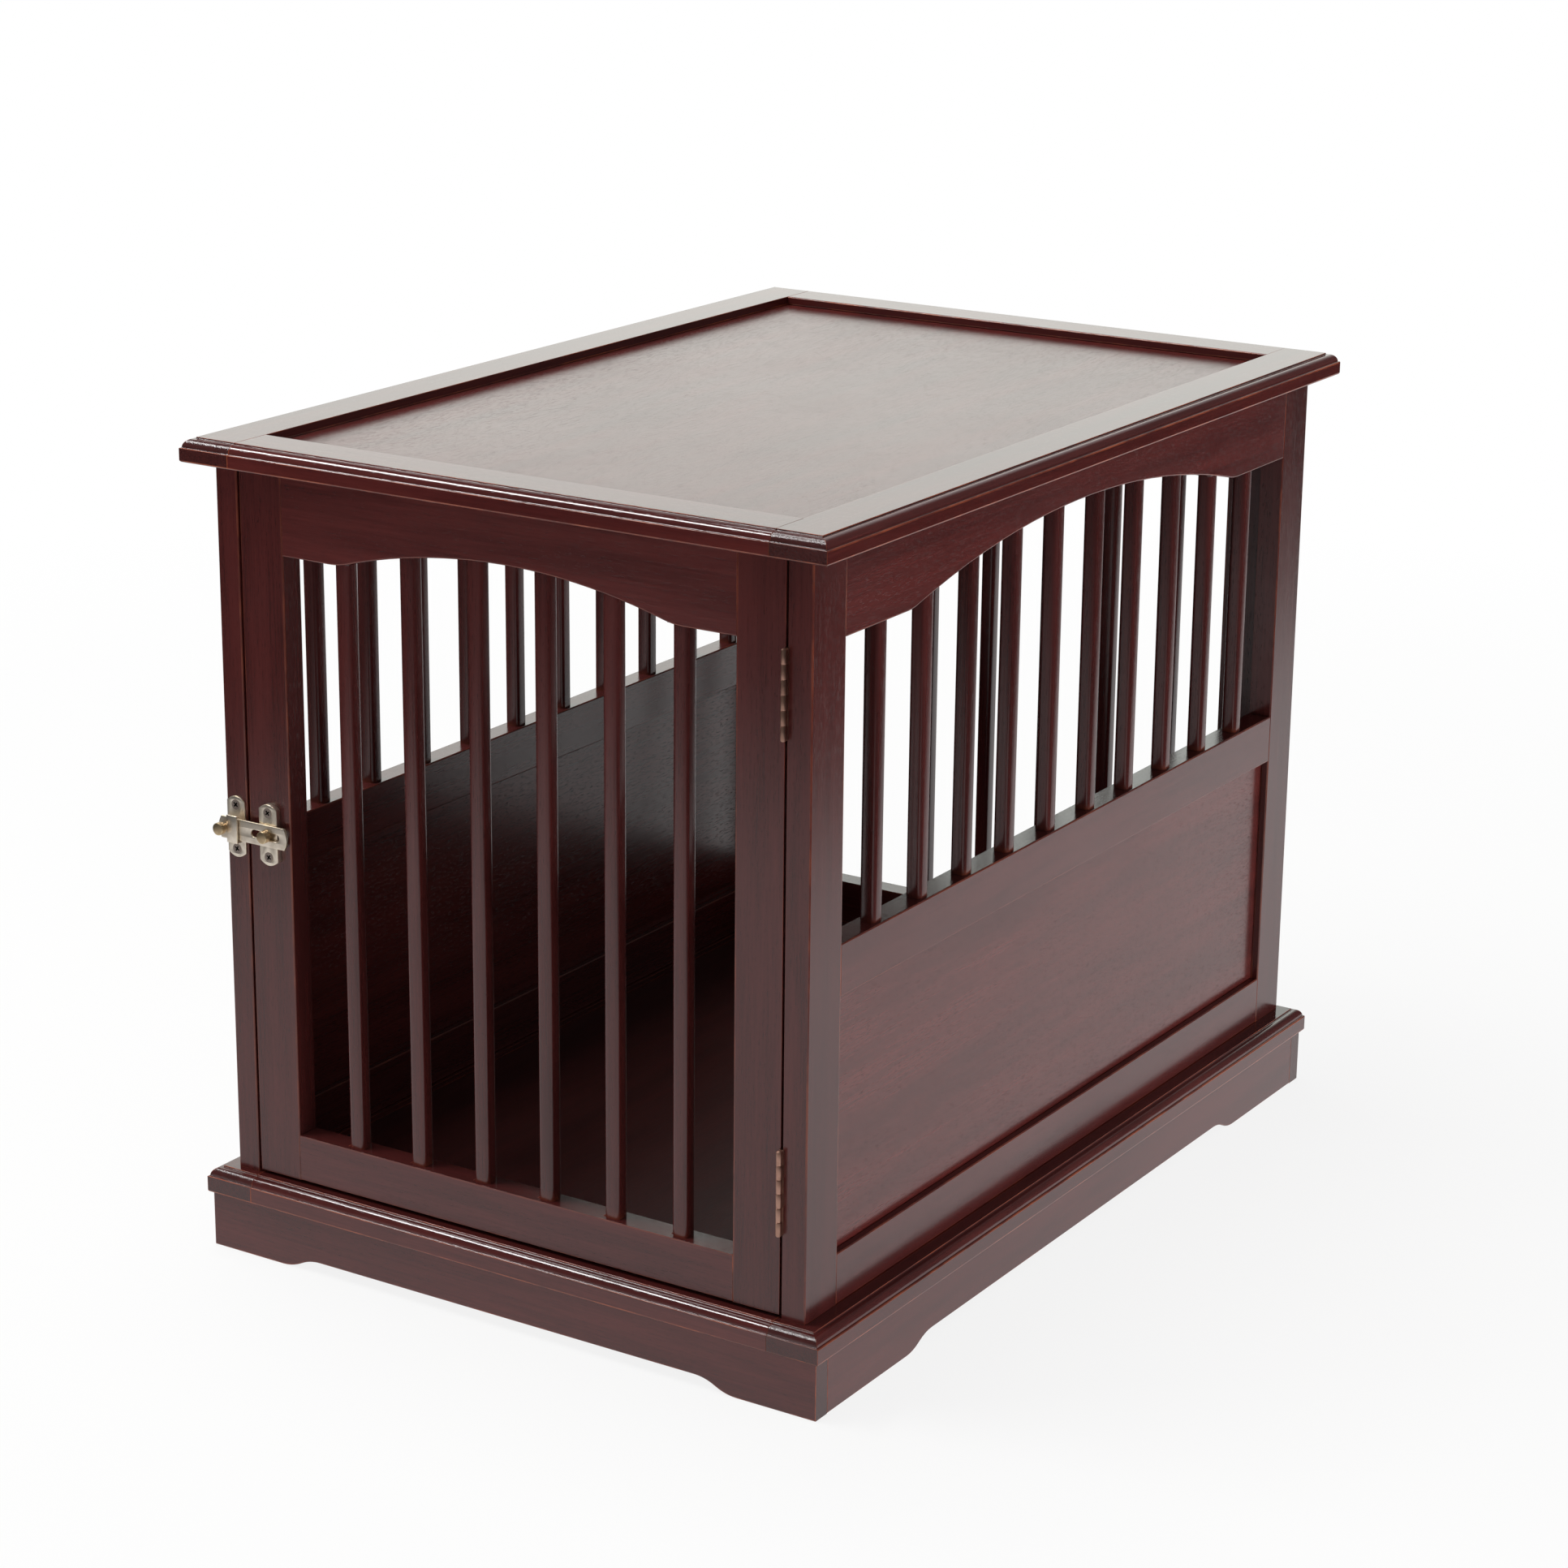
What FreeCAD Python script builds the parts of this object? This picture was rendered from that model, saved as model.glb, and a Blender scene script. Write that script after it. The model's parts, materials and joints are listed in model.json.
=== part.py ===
"""End table that is also a small dog crate, in millimetres.

The origin is on the floor under the middle of the table. +Z is up, +Y runs to
the rear, and the door is at the front, on the -Y side.

The body is built as joinery: two framed sides, a framed rear and a framed door
stand on a moulded base frame and carry a moulded top frame. Each of these
frames has stiles, an arched head rail, a bottom rail and upright spindles.
"""
import FreeCAD, Part
import math
import os

V = FreeCAD.Vector

# ---------------------------------------------------------------- body
body_width = 394.0            # over the outer faces of the two sides
body_depth = 585.0            # over the front and rear edges of the sides
frame_height = 424.0          # the upright frames, from base frame to top frame
board = 15.0                  # thickness of every upright frame

# ---------------------------------------------------------------- top frame
top_thickness = 14.0
top_overhang_side = 15.5      # past the outer face of a side
top_overhang_end = 12.5       # past the front and rear edges of a side
top_side_rail_width = 35.0
top_end_rail_width = 34.0
tray_depth = 5.5              # panel surface below the rails
tray_panel_thickness = 5.0

# ---------------------------------------------------------------- base
base_thickness = 16.0
base_overhang_side = 15.5
base_overhang_end = 11.5
base_side_rail_width = 33.0
base_end_rail_width = 42.0
floor_depth = 4.0             # floor panel below the base rails
floor_panel_thickness = 6.0
skirt_height = 34.0
skirt_thickness = 12.0
skirt_setback = 2.5           # skirt face behind the moulding's face
skirt_rise = 7.0              # height of the cut-out between the feet
skirt_ogee_length = 28.0      # level length of the curve beside a foot
front_foot_length = 51.0      # flat foot at each end of the front and rear skirts
side_foot_length = 84.0       # flat foot at each end of a side skirt

# ---------------------------------------------------------------- edge moulding
fillet_step = 1.0             # the small square steps above and below the round
ovolo_radius = 4.8            # the quarter round
moulding_lip = 1.2            # the ledge outside the quarter round
arris = 0.8                   # the bevelled lower edge

# ---------------------------------------------------------------- upright frames
side_stile_width = 32.0
side_bottom_rail_height = 30.0
mid_rail_height = 30.0
mid_rail_top = 208.0          # above the base frame
side_head_drop = 48.0         # head rail at its ends, below the top frame
side_arch_rise = 24.5
side_arch_radius = 760.0
side_spindle_count = 10
end_stile_width = 30.0        # stiles of the door and of the rear frame
end_bottom_rail_height = 30.0  # rail top above the base frame
end_head_drop = 48.0
end_arch_rise = 16.5
end_arch_radius = 380.0
end_spindle_count = 6
arch_blend_radius = 45.0      # the reverse curve where an arch meets its flat end

# ---------------------------------------------------------------- spindles
spindle_width = 13.0
spindle_depth = 10.0
spindle_bevel = 2.2           # the eased long edges
tenon_width = 9.0
tenon_depth = 6.0
tenon_length = 8.0
socket_depth = 8.0            # how far a spindle runs up into the head rail
joint_clearance = 0.1         # around tenons, spindle ends, dowels and screws

# ---------------------------------------------------------------- side panels
panel_thickness = 5.0
panel_recess = 5.0            # panel face behind the frame's outer face
groove_depth = 6.0
panel_edge_gap = 0.5          # panel edge short of the groove's bottom

# ---------------------------------------------------------------- rail joints
rail_tenon_thickness = 6.0
rail_tenon_length = 14.0
rail_shoulder = 6.0           # from an edge of a rail to its tenon
tenon_wall = 2.0              # wood between a tenon and a groove or a dowel
moulded_tenon_thickness = 5.0
moulded_tenon_length = 12.0
moulded_shoulder = 8.0

# ---------------------------------------------------------------- dowels
dowel_radius = 4.0
dowel_reach = 14.0            # into each of the two pieces
dowel_sides = 6
top_dowel_height = 7.0        # into the top frame
cross_dowel_depth = 9.0       # into the side stile, from the rear frame
cross_dowel_heights = (70.0, 350.0)

# ---------------------------------------------------------------- wood screws
screw_head_radius = 3.0
screw_head_height = 1.8
screw_shank_radius = 1.5
screw_length = 12.0
screw_sides = 6
base_screw_length = 34.0
base_screw_spread = 190.0     # between the screws of a side
rear_screw_spread = 220.0

# ---------------------------------------------------------------- door
door_gap_latch = 1.5
door_gap_hinge = 1.5
door_gap_top = 2.0
door_gap_bottom = 2.0

# ---------------------------------------------------------------- butt hinges
hinge_length = 49.0
hinge_inset = 47.3            # hinge end from the door's end
knuckle_count = 6
knuckle_radius = 1.6
knuckle_gap = 0.2
knuckle_stand_off = 1.1       # barrel in front of the door's face
leaf_thickness = 1.2
leaf_width = 13.0
leaf_gap = 0.3                # between the two closed leaves
leaf_edge_gap = 0.2           # around a leaf in its recess
knuckle_sides = 12
hinge_pin_radius = 0.8
hinge_running_gap = 0.05
hinge_pin_head = 0.4
hinge_pin_head_radius = 1.2
hinge_screw_count = 3
hinge_screw_spacing = 17.0
hinge_screw_from_edge = 7.5   # screw line behind the face
hinge_screw_head_radius = 2.5
hinge_screw_head_height = 1.1

# ---------------------------------------------------------------- bar latch
latch_height = 212.0          # bar's centre above the base frame
plate_width = 13.0
plate_length = 36.5
plate_end_bow = 3.0           # how far a plate's end arcs out
plate_screw_offset = 13.2
keeper_thickness = 1.2
door_plate_height = 3.7       # the raised plate stands off the door
door_plate_wall = 1.0
door_plate_from_edge = 16.5   # plate's centre from the door's edge
bar_height = 12.9
bar_thickness = 1.5
bar_stand_off = 4.2           # bar's back from the face of the wood
bar_left = 35.0               # bar's ends from the stud
bar_right = 15.0
bar_end_bow = 2.0
slot_left = 11.0              # slot's ends from the stud
slot_right = 9.5
slot_height = 4.5
stud_neck_radius = 2.0
stud_flange_radius = 3.2
stud_flange_thickness = 0.8
stud_running_gap = 0.05
stud_collar_radius = 3.4
stud_head_radius = 3.6
stud_head_height = 4.0
stud_head_gap = 0.3           # between the bar and the stud's head
knob_from_stud = 31.0
knob_radius = 3.7
knob_height = 3.6
knob_collar_radius = 2.0
knob_collar_height = 2.2
knob_rivet_radius = 1.5
latch_sides = 12              # of the latch's hidden round parts
knob_edge = 0.5
lip_width = 7.6
lip_thickness = 1.2
lip_height = 16.4
lip_offset = 1.7              # lip's centre from the keeper's centre
lip_gap = 0.5                 # between bar and lip
shelf_gap = 0.35              # between bar and the shelf it rests over

# ---------------------------------------------------------------- derived places
base_top = skirt_height + base_thickness
frame_top = base_top + frame_height
table_top = frame_top + top_thickness
half_width = body_width / 2
half_depth = body_depth / 2
side_inner = half_width - board
board_middle = board / 2

parts = {}


# ================================================================ helpers
def block(x0, x1, y0, y1, z0, z1):
    """A box between two opposite corners."""
    return Part.makeBox(x1 - x0, y1 - y0, z1 - z0, V(x0, y0, z0))


def rod(centre, direction, radius, length):
    """A cylinder that starts at centre and runs along direction."""
    return Part.makeCylinder(radius, length, centre, direction)


def faceted_rod(centre, direction, sides, stations):
    """A straight rod with flat sides, along X, Y or Z.

    A station is (distance from centre, radius), where a radius reaches the
    rod's corners. The radius may change from station to station.
    """
    level = V(1, 0, 0) if abs(direction.z) > 0.5 else V(0, 0, 1)
    across = direction.cross(level)
    rings = []
    for distance, radius in stations:
        turns = [2 * math.pi * (i + 0.5) / sides for i in range(sides)]
        rings.append([centre + direction * distance + level * (radius * math.cos(t))
                      + across * (radius * math.sin(t)) for t in turns])
    faces = [Part.Face(Part.makePolygon(ring + ring[:1])) for ring in (rings[0], rings[-1])]
    for low, high in zip(rings, rings[1:]):
        for i in range(sides):
            corners = [low[i - 1], low[i], high[i], high[i - 1]]
            faces.append(Part.Face(Part.makePolygon(corners + corners[:1])))
    return Part.Solid(Part.Shell(faces))


def widened(radius, gap, sides):
    """Corner radius of a flat-sided hole whose sides clear that radius by a gap."""
    return (radius + gap) / math.cos(math.pi / sides)


def moved(shape, angle=0.0, x=0.0, y=0.0):
    """A copy turned about Z by angle in degrees, then shifted."""
    copy = shape.copy()
    copy.rotate(V(0, 0, 0), V(0, 0, 1), angle)
    copy.translate(V(x, y, 0))
    return copy


def add(name, *solids):
    """Keep one named piece, or a group of equal pieces."""
    parts[name] = solids[0] if len(solids) == 1 else Part.Compound(list(solids))


def arc_point(centre, radius, angle):
    """A point (u, z) on a circle in an upright plane, angle in radians."""
    return centre[0] + radius * math.cos(angle), centre[1] + radius * math.sin(angle)


def outline_face(steps):
    """A face in the XZ plane from (u, z) corners.

    A step is one (u, z) point for a straight run, or a pair of points, the
    middle and the end of an arc.
    """
    last = steps[-1]
    here = last[-1] if isinstance(last[0], tuple) else last
    edges = []
    for step in steps:
        start = V(here[0], 0, here[1])
        if isinstance(step[0], tuple):
            middle, end = step
            edges.append(Part.Arc(start, V(middle[0], 0, middle[1]), V(end[0], 0, end[1])).toShape())
        else:
            end = step
            edges.append(Part.LineSegment(start, V(end[0], 0, end[1])).toShape())
        here = end
    return Part.Face(Part.Wire(edges))


def upright_plate(steps, y0, thickness):
    """A plate whose face lies in the XZ plane, from y0 to y0 + thickness."""
    plate = outline_face(steps).extrude(V(0, thickness, 0))
    plate.translate(V(0, y0, 0))
    return plate


# ================================================================ screws and dowels
def wood_screw(head_point, direction, length=screw_length,
               head_radius=screw_head_radius, head_height=screw_head_height):
    """A countersunk wood screw."""
    return faceted_rod(head_point, direction, screw_sides,
                       [(0.0, head_radius), (head_height, screw_shank_radius), (length, screw_shank_radius)])


def screw_hole(head_point, direction, length=screw_length,
               head_radius=screw_head_radius, head_height=screw_head_height):
    """The countersunk hole that a wood screw fills."""
    gap = joint_clearance
    wide = widened(head_radius, gap, screw_sides)
    narrow = widened(screw_shank_radius, gap, screw_sides)
    return faceted_rod(head_point, direction, screw_sides,
                       [(0.0, wide), (head_height, narrow), (length + gap, narrow)])


def dowel(centre, direction, reach_back, reach_ahead):
    """A dowel across a joint at centre, and the hole for it."""
    hole_radius = widened(dowel_radius, joint_clearance, dowel_sides)
    pin = faceted_rod(centre, direction, dowel_sides,
                      [(-reach_back, dowel_radius), (reach_ahead, dowel_radius)])
    hole = faceted_rod(centre, direction, dowel_sides,
                       [(-reach_back - joint_clearance, hole_radius),
                        (reach_ahead + joint_clearance, hole_radius)])
    return pin, hole


# ================================================================ moulded frames
def moulded_profile(half, z0, thickness):
    """Section of a moulded board: a quarter round between two small steps."""
    face_top = z0 + thickness - fillet_step - ovolo_radius
    round_out = half - moulding_lip
    round_in = round_out - ovolo_radius
    flat_edge = round_in - fillet_step
    diagonal = ovolo_radius * math.sqrt(0.5)
    z_step = z0 + thickness - fillet_step
    return [
        (-flat_edge, z0 + thickness),
        (flat_edge, z0 + thickness),
        (flat_edge, z_step),
        (round_in, z_step),
        ((round_in + diagonal, face_top + diagonal), (round_out, face_top)),
        (half, face_top),
        (half, z0 + arris),
        (half - arris, z0),
        (-half + arris, z0),
        (-half, z0 + arris),
        (-half, face_top),
        (-round_out, face_top),
        ((-round_in - diagonal, face_top + diagonal), (-round_in, z_step)),
        (-flat_edge, z_step),
    ]


def moulded_frame(prefix, panel_name, half_x, half_y, z0, thickness,
                  side_rail, end_rail, recess, panel_t, tools):
    """Four moulded rails around a recessed panel.

    The side rails run the full depth, so their end grain shows at the front.
    """
    across = upright_plate(moulded_profile(half_x, z0, thickness), -half_y, 2 * half_y)
    along = moved(upright_plate(moulded_profile(half_y, z0, thickness), -half_x, 2 * half_x), 90)
    slab = across.common(along)

    inner_x = half_x - side_rail
    inner_y = half_y - end_rail
    z1 = z0 + thickness
    groove = block(-inner_x - groove_depth, inner_x + groove_depth,
                   -inner_y - groove_depth, inner_y + groove_depth,
                   z1 - recess - panel_t - joint_clearance, z1 - recess + joint_clearance)
    edge = groove_depth - panel_edge_gap
    panel = block(-inner_x - edge, inner_x + edge, -inner_y - edge, inner_y + edge,
                  z1 - recess - panel_t, z1 - recess)

    tenon_low = z0 + (thickness - moulded_tenon_thickness) / 2
    tenon_inner = inner_y + groove_depth + tenon_wall
    tenon_outer = half_y - moulded_shoulder

    def bar_through(end, gap):
        """The tenons at both ends of an end rail, as one bar."""
        reach = inner_x + moulded_tenon_length + gap
        y0, y1 = sorted((end * tenon_inner, end * tenon_outer))
        return block(-reach, reach, y0 - gap, y1 + gap,
                     tenon_low - gap, tenon_low + moulded_tenon_thickness + gap)

    mortises = [bar_through(end, joint_clearance) for end in (-1, 1)]
    outer = half_x + 1
    for name, x0, x1 in (("left", -outer, -inner_x), ("right", inner_x, outer)):
        span = block(x0, x1, -half_y, half_y, z0, z1)
        add(f"{prefix}_rail_{name}", slab.common(span).cut([groove] + mortises + tools))
    for name, end in (("front", -1), ("rear", 1)):
        y0, y1 = sorted((end * inner_y, end * half_y))
        rail = slab.common(block(-inner_x, inner_x, y0, y1, z0, z1))
        add(f"{prefix}_rail_{name}", rail.fuse(bar_through(end, 0.0)).cut([groove] + tools).removeSplitter())
    add(panel_name, panel)


# ================================================================ arches
class Arch:
    """A shallow arch that ends in a reverse curve and a flat, in (u, z)."""

    def __init__(self, z_end, rise, radius):
        self.z_end = z_end
        self.z_peak = z_end + rise
        self.radius = radius
        self.centre = (0.0, self.z_peak - radius)
        reach = radius + arch_blend_radius
        blend_z = z_end + arch_blend_radius
        self.flat_start = math.sqrt(reach ** 2 - (blend_z - self.centre[1]) ** 2)
        self.blend = (self.flat_start, blend_z)
        share = radius / reach
        self.meet = (self.flat_start * share, self.centre[1] + (blend_z - self.centre[1]) * share)

    def height(self, u):
        """Height of the edge at u, off the middle by |u|."""
        u = abs(u)
        if u <= self.meet[0]:
            return self.centre[1] + math.sqrt(self.radius ** 2 - u ** 2)
        if u < self.flat_start:
            return self.blend[1] - math.sqrt(arch_blend_radius ** 2 - (self.flat_start - u) ** 2)
        return self.z_end

    def steps(self):
        """The edge from the right-hand flat to the left-hand flat."""
        turn = math.atan2(self.meet[1] - self.blend[1], self.meet[0] - self.blend[0])
        half_turn = (turn % (2 * math.pi) + 1.5 * math.pi) / 2
        bend = arc_point(self.blend, arch_blend_radius, half_turn)
        return [
            (self.flat_start, self.z_end),
            (bend, self.meet),
            ((0.0, self.z_peak), (-self.meet[0], self.meet[1])),
            ((-bend[0], bend[1]), (-self.flat_start, self.z_end)),
        ]


# ================================================================ upright frames
def spindle_bar(u, grow, z0, z1):
    """A length of spindle with its long edges bevelled, grown all round by grow."""
    a = spindle_width / 2 + grow
    b = spindle_depth / 2 + grow
    bevel = spindle_bevel + grow * (2 - math.sqrt(2))
    outline = [(a, bevel - b), (a, b - bevel), (a - bevel, b), (bevel - a, b),
               (-a, b - bevel), (-a, bevel - b), (bevel - a, -b), (a - bevel, -b)]
    corners = [V(u + x, board_middle + y, z0) for x, y in outline]
    return Part.Face(Part.makePolygon(corners + corners[:1])).extrude(V(0, 0, z1 - z0))


def spindle(u, z_seat, z_tip):
    """A spindle that stands on a rail by a stub tenon and runs up into a socket."""
    tenon = block(u - tenon_width / 2, u + tenon_width / 2,
                  board_middle - tenon_depth / 2, board_middle + tenon_depth / 2,
                  z_seat - tenon_length, z_seat)
    return spindle_bar(u, 0.0, z_seat, z_tip).fuse(tenon)


def spindle_hollows(u, z_seat, arch_low, z_tip):
    """The mortise below a spindle and the socket above it."""
    a = tenon_width / 2 + joint_clearance
    b = tenon_depth / 2 + joint_clearance
    mortise = block(u - a, u + a, board_middle - b, board_middle + b,
                    z_seat - tenon_length - joint_clearance, z_seat)
    socket = spindle_bar(u, joint_clearance, arch_low, z_tip + joint_clearance)
    return mortise, socket


def spindle_places(half_open, count):
    """Spindle centres that leave equal gaps between the stiles."""
    gap = (2 * half_open - count * spindle_width) / (count + 1)
    first = -half_open + gap + spindle_width / 2
    return [first + i * (gap + spindle_width) for i in range(count)]


def rail_tenons(half_open, z0, z1, gap=0.0):
    """The tenons at both ends of a rail. With a gap they cut its mortises."""
    root = half_open - board_middle
    reach = half_open + rail_tenon_length + gap
    half = rail_tenon_thickness / 2 + gap
    return [block(min(end * root, end * reach), max(end * root, end * reach),
                  board_middle - half, board_middle + half, z0 - gap, z1 + gap) for end in (-1, 1)]


def upright_frame(width, z0, z1, stile, rail_top, head_drop, rise, radius, count, mid_top=None):
    """Stiles, arched head rail, bottom rail and spindles of one frame.

    It lies with its outer face on the XZ plane and its thickness towards +Y.
    With mid_top it also has a middle rail, and a panel below that rail.
    Returns the pieces by name.
    """
    half = width / 2
    half_open = half - stile
    z_head = z1 - head_drop
    arch = Arch(z_head, rise, radius)
    seat = rail_top if mid_top is None else mid_top

    head = upright_plate([(-half_open, z1), (half_open, z1), (half_open, z_head)] + arch.steps()
                         + [(-half_open, z_head)], 0, board)
    bottom = block(-half_open, half_open, 0, board, z0, rail_top)
    spans = {
        "head_rail": (z_head + rail_shoulder, z1 - dowel_reach - tenon_wall),
        "bottom_rail": (z0 + rail_shoulder, rail_top - rail_shoulder),
    }

    grooves = []
    pieces = {}
    if mid_top is not None:
        mid_low = mid_top - mid_rail_height
        middle = block(-half_open, half_open, 0, board, mid_low, mid_top)
        spans["bottom_rail"] = (z0 + rail_shoulder, rail_top - groove_depth - tenon_wall)
        spans["mid_rail"] = (mid_low + groove_depth + tenon_wall, mid_top - rail_shoulder)
        reach = groove_depth - panel_edge_gap
        pieces["panel"] = block(-half_open - reach, half_open + reach,
                                panel_recess, panel_recess + panel_thickness,
                                rail_top - reach, mid_low + reach)
        grooves.append(block(-half_open - groove_depth, half_open + groove_depth,
                             panel_recess - joint_clearance,
                             panel_recess + panel_thickness + joint_clearance,
                             rail_top - groove_depth, mid_low + groove_depth))

    spindles = []
    mortises = []
    sockets = []
    for u in spindle_places(half_open, count):
        edge_heights = [arch.height(u + s * spindle_width / 2) for s in (-1, 0, 1)]
        tip = max(edge_heights) + socket_depth
        mortise, socket = spindle_hollows(u, seat, z_head, tip)
        spindles.append(spindle(u, seat, tip))
        mortises.append(mortise)
        sockets.append(socket)

    mortises_for_rails = [tool for span in spans.values()
                          for tool in rail_tenons(half_open, *span, joint_clearance)]
    stile_cuts = grooves + mortises_for_rails
    pieces["stile_low_u"] = block(-half, -half_open, 0, board, z0, z1).cut(stile_cuts)
    pieces["stile_high_u"] = block(half_open, half, 0, board, z0, z1).cut(stile_cuts)
    pieces["head_rail"] = head.fuse(rail_tenons(half_open, *spans["head_rail"])).cut(sockets)
    bottom = bottom.fuse(rail_tenons(half_open, *spans["bottom_rail"]))
    if mid_top is None:
        pieces["bottom_rail"] = bottom.cut(mortises)
    else:
        middle = middle.fuse(rail_tenons(half_open, *spans["mid_rail"]))
        pieces["bottom_rail"] = bottom.cut(grooves)
        pieces["mid_rail"] = middle.cut(mortises + grooves)
    for name in spans:
        pieces[name] = pieces[name].removeSplitter()
    pieces["spindles"] = Part.Compound(spindles)
    return pieces


# ================================================================ skirts
def skirt(length, foot, y0):
    """A skirt board whose lower edge curves up between two flat feet."""
    half = length / 2
    toe = half - foot
    top = toe - skirt_ogee_length
    middle = (toe + top) / 2
    radius = (skirt_ogee_length ** 2 + skirt_rise ** 2) / (4 * skirt_rise)
    half_turn = math.asin(skirt_ogee_length / 2 / radius) / 2
    dx = radius * math.sin(half_turn)
    dz = radius * (1 - math.cos(half_turn))
    crossing = (middle, skirt_rise / 2)
    steps = [
        (-half, skirt_height),
        (half, skirt_height),
        (half, 0.0),
        (toe, 0.0),
        ((toe - dx, dz), crossing),
        ((top + dx, skirt_rise - dz), (top, skirt_rise)),
        (-top, skirt_rise),
        ((-top - dx, skirt_rise - dz), (-middle, skirt_rise / 2)),
        ((-toe + dx, dz), (-toe, 0.0)),
        (-half, 0.0),
    ]
    return upright_plate(steps, y0, skirt_thickness)


def build_skirts():
    """Front and rear skirts run the full width. The side skirts fit between them."""
    out_x = half_width + base_overhang_side - skirt_setback
    out_y = half_depth + base_overhang_end - skirt_setback
    end_board = skirt(2 * out_x, front_foot_length, -out_y)
    side_board = skirt(2 * (out_y - skirt_thickness), side_foot_length, -out_x)
    add("skirt_front", end_board)
    add("skirt_rear", moved(end_board, 180))
    add("skirt_right", moved(side_board, 90))
    add("skirt_left", moved(side_board, -90))


# ================================================================ butt hinges
hinge_axis_x = side_inner - door_gap_hinge / 2
hinge_axis_y = -half_depth - knuckle_radius - knuckle_stand_off
door_low = base_top + door_gap_bottom
door_high = frame_top - door_gap_top
hinge_places = {
    "upper": door_high - hinge_inset - hinge_length / 2,
    "lower": door_low + hinge_inset + hinge_length / 2,
}


def hinge_screw_points(z_mid, side):
    """Head points of one leaf's screws. side is 1 for the frame's leaf."""
    x = hinge_axis_x + side * leaf_gap / 2
    y = -half_depth + hinge_screw_from_edge
    first = z_mid - hinge_screw_spacing * (hinge_screw_count - 1) / 2
    return [V(x, y, first + i * hinge_screw_spacing) for i in range(hinge_screw_count)]


def hinge_screws(z_mid, side, shape=wood_screw):
    """The screws of a leaf, from the gap into the wood, or with screw_hole their holes."""
    return [shape(point, V(side, 0, 0), screw_length, hinge_screw_head_radius, hinge_screw_head_height)
            for point in hinge_screw_points(z_mid, side)]


def hinge_rod(radius, z0, z1):
    """A flat-sided rod on the hinge's axis."""
    return faceted_rod(V(hinge_axis_x, hinge_axis_y, z0), V(0, 0, 1), knuckle_sides,
                       [(0.0, radius), (z1 - z0, radius)])


def leaf(z_mid, side):
    """One leaf with every second knuckle. The frame's leaf has the lowest one."""
    z0 = z_mid - hinge_length / 2
    clear = knuckle_radius + leaf_edge_gap
    x_near = hinge_axis_x + side * leaf_gap / 2
    x_far = x_near + side * leaf_thickness
    x0, x1 = min(x_near, x_far), max(x_near, x_far)
    y_back = -half_depth + leaf_width
    shape = block(x0, x1, hinge_axis_y + clear, y_back, z0, z0 + hinge_length)
    pitch = hinge_length / knuckle_count
    first = 0 if side > 0 else 1
    for i in range(first, knuckle_count, 2):
        low = z0 + i * pitch + (knuckle_gap / 2 if i else 0.0)
        high = z0 + (i + 1) * pitch - (knuckle_gap / 2 if i < knuckle_count - 1 else 0.0)
        barrel = hinge_rod(knuckle_radius, low, high)
        tab = block(x0, x1, hinge_axis_y, hinge_axis_y + clear, low, high)
        shape = shape.fuse([barrel, tab])
    bore = hinge_rod(widened(hinge_pin_radius, hinge_running_gap, knuckle_sides),
                     z0 - 1, z0 + hinge_length + 1)
    return shape.cut([bore] + hinge_screws(z_mid, side, screw_hole)).removeSplitter()


def leaf_recess(z_mid, side):
    """The shallow recess in the wood that a leaf seats in, with its screw holes."""
    x_wood = hinge_axis_x + side * door_gap_hinge / 2
    x_deep = hinge_axis_x + side * (leaf_gap / 2 + leaf_thickness)
    return [block(min(x_wood, x_deep), max(x_wood, x_deep),
                  -half_depth, -half_depth + leaf_width + leaf_edge_gap,
                  z_mid - hinge_length / 2 - leaf_edge_gap,
                  z_mid + hinge_length / 2 + leaf_edge_gap)] + hinge_screws(z_mid, side, screw_hole)


def hinge_pin(z_mid):
    """The round pin, with a flat head above the barrel and one below it."""
    z0 = z_mid - hinge_length / 2
    z1 = z0 + hinge_length
    shaft = rod(V(hinge_axis_x, hinge_axis_y, z0), V(0, 0, 1), hinge_pin_radius, hinge_length)
    low_head = hinge_rod(hinge_pin_head_radius, z0 - hinge_pin_head, z0)
    high_head = hinge_rod(hinge_pin_head_radius, z1, z1 + hinge_pin_head)
    return shaft.fuse([low_head, high_head])


def build_hinges():
    """Two butt hinges on the door's right-hand stile."""
    for name, z_mid in hinge_places.items():
        add(f"hinge_{name}_frame_leaf", leaf(z_mid, 1))
        add(f"hinge_{name}_door_leaf", leaf(z_mid, -1))
        add(f"hinge_{name}_pin", hinge_pin(z_mid))
    for owner, side in (("frame", 1), ("door", -1)):
        add(f"hinge_{owner}_screws", *[screw for z in hinge_places.values()
                                       for screw in hinge_screws(z, side)])


# ================================================================ bar latch
latch_z = base_top + latch_height
face_y = -half_depth
keeper_x = -(half_width - board_middle)
door_left = -side_inner + door_gap_latch
stud_x = door_left + door_plate_from_edge
bar_front = bar_stand_off + bar_thickness
lip_front = bar_front + lip_gap + lip_thickness
shelf_top = latch_z - bar_height / 2 - shelf_gap


def proud(x, z, distance):
    """A point in front of the face of the wood."""
    return V(x, face_y - distance, z)


def proud_block(x0, x1, z0, z1, near, far):
    """A block between two distances in front of the wood."""
    return block(x0, x1, face_y - far, face_y - near, z0, z1)


def plate_steps(x, width, length, bow):
    """Outline of a latch plate: straight sides and bowed ends."""
    half = width / 2
    low = latch_z - length / 2
    high = latch_z + length / 2
    return [
        (x + half, high - bow),
        ((x, high), (x - half, high - bow)),
        (x - half, low + bow),
        ((x, low), (x + half, low + bow)),
    ]


def plate_screws(x, height, shape=wood_screw):
    """A plate's two screws, driven back into the wood, or with screw_hole their holes."""
    return [shape(proud(x, latch_z + s * plate_screw_offset, height), V(0, 1, 0), screw_length + height)
            for s in (-1, 1)]


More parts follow.
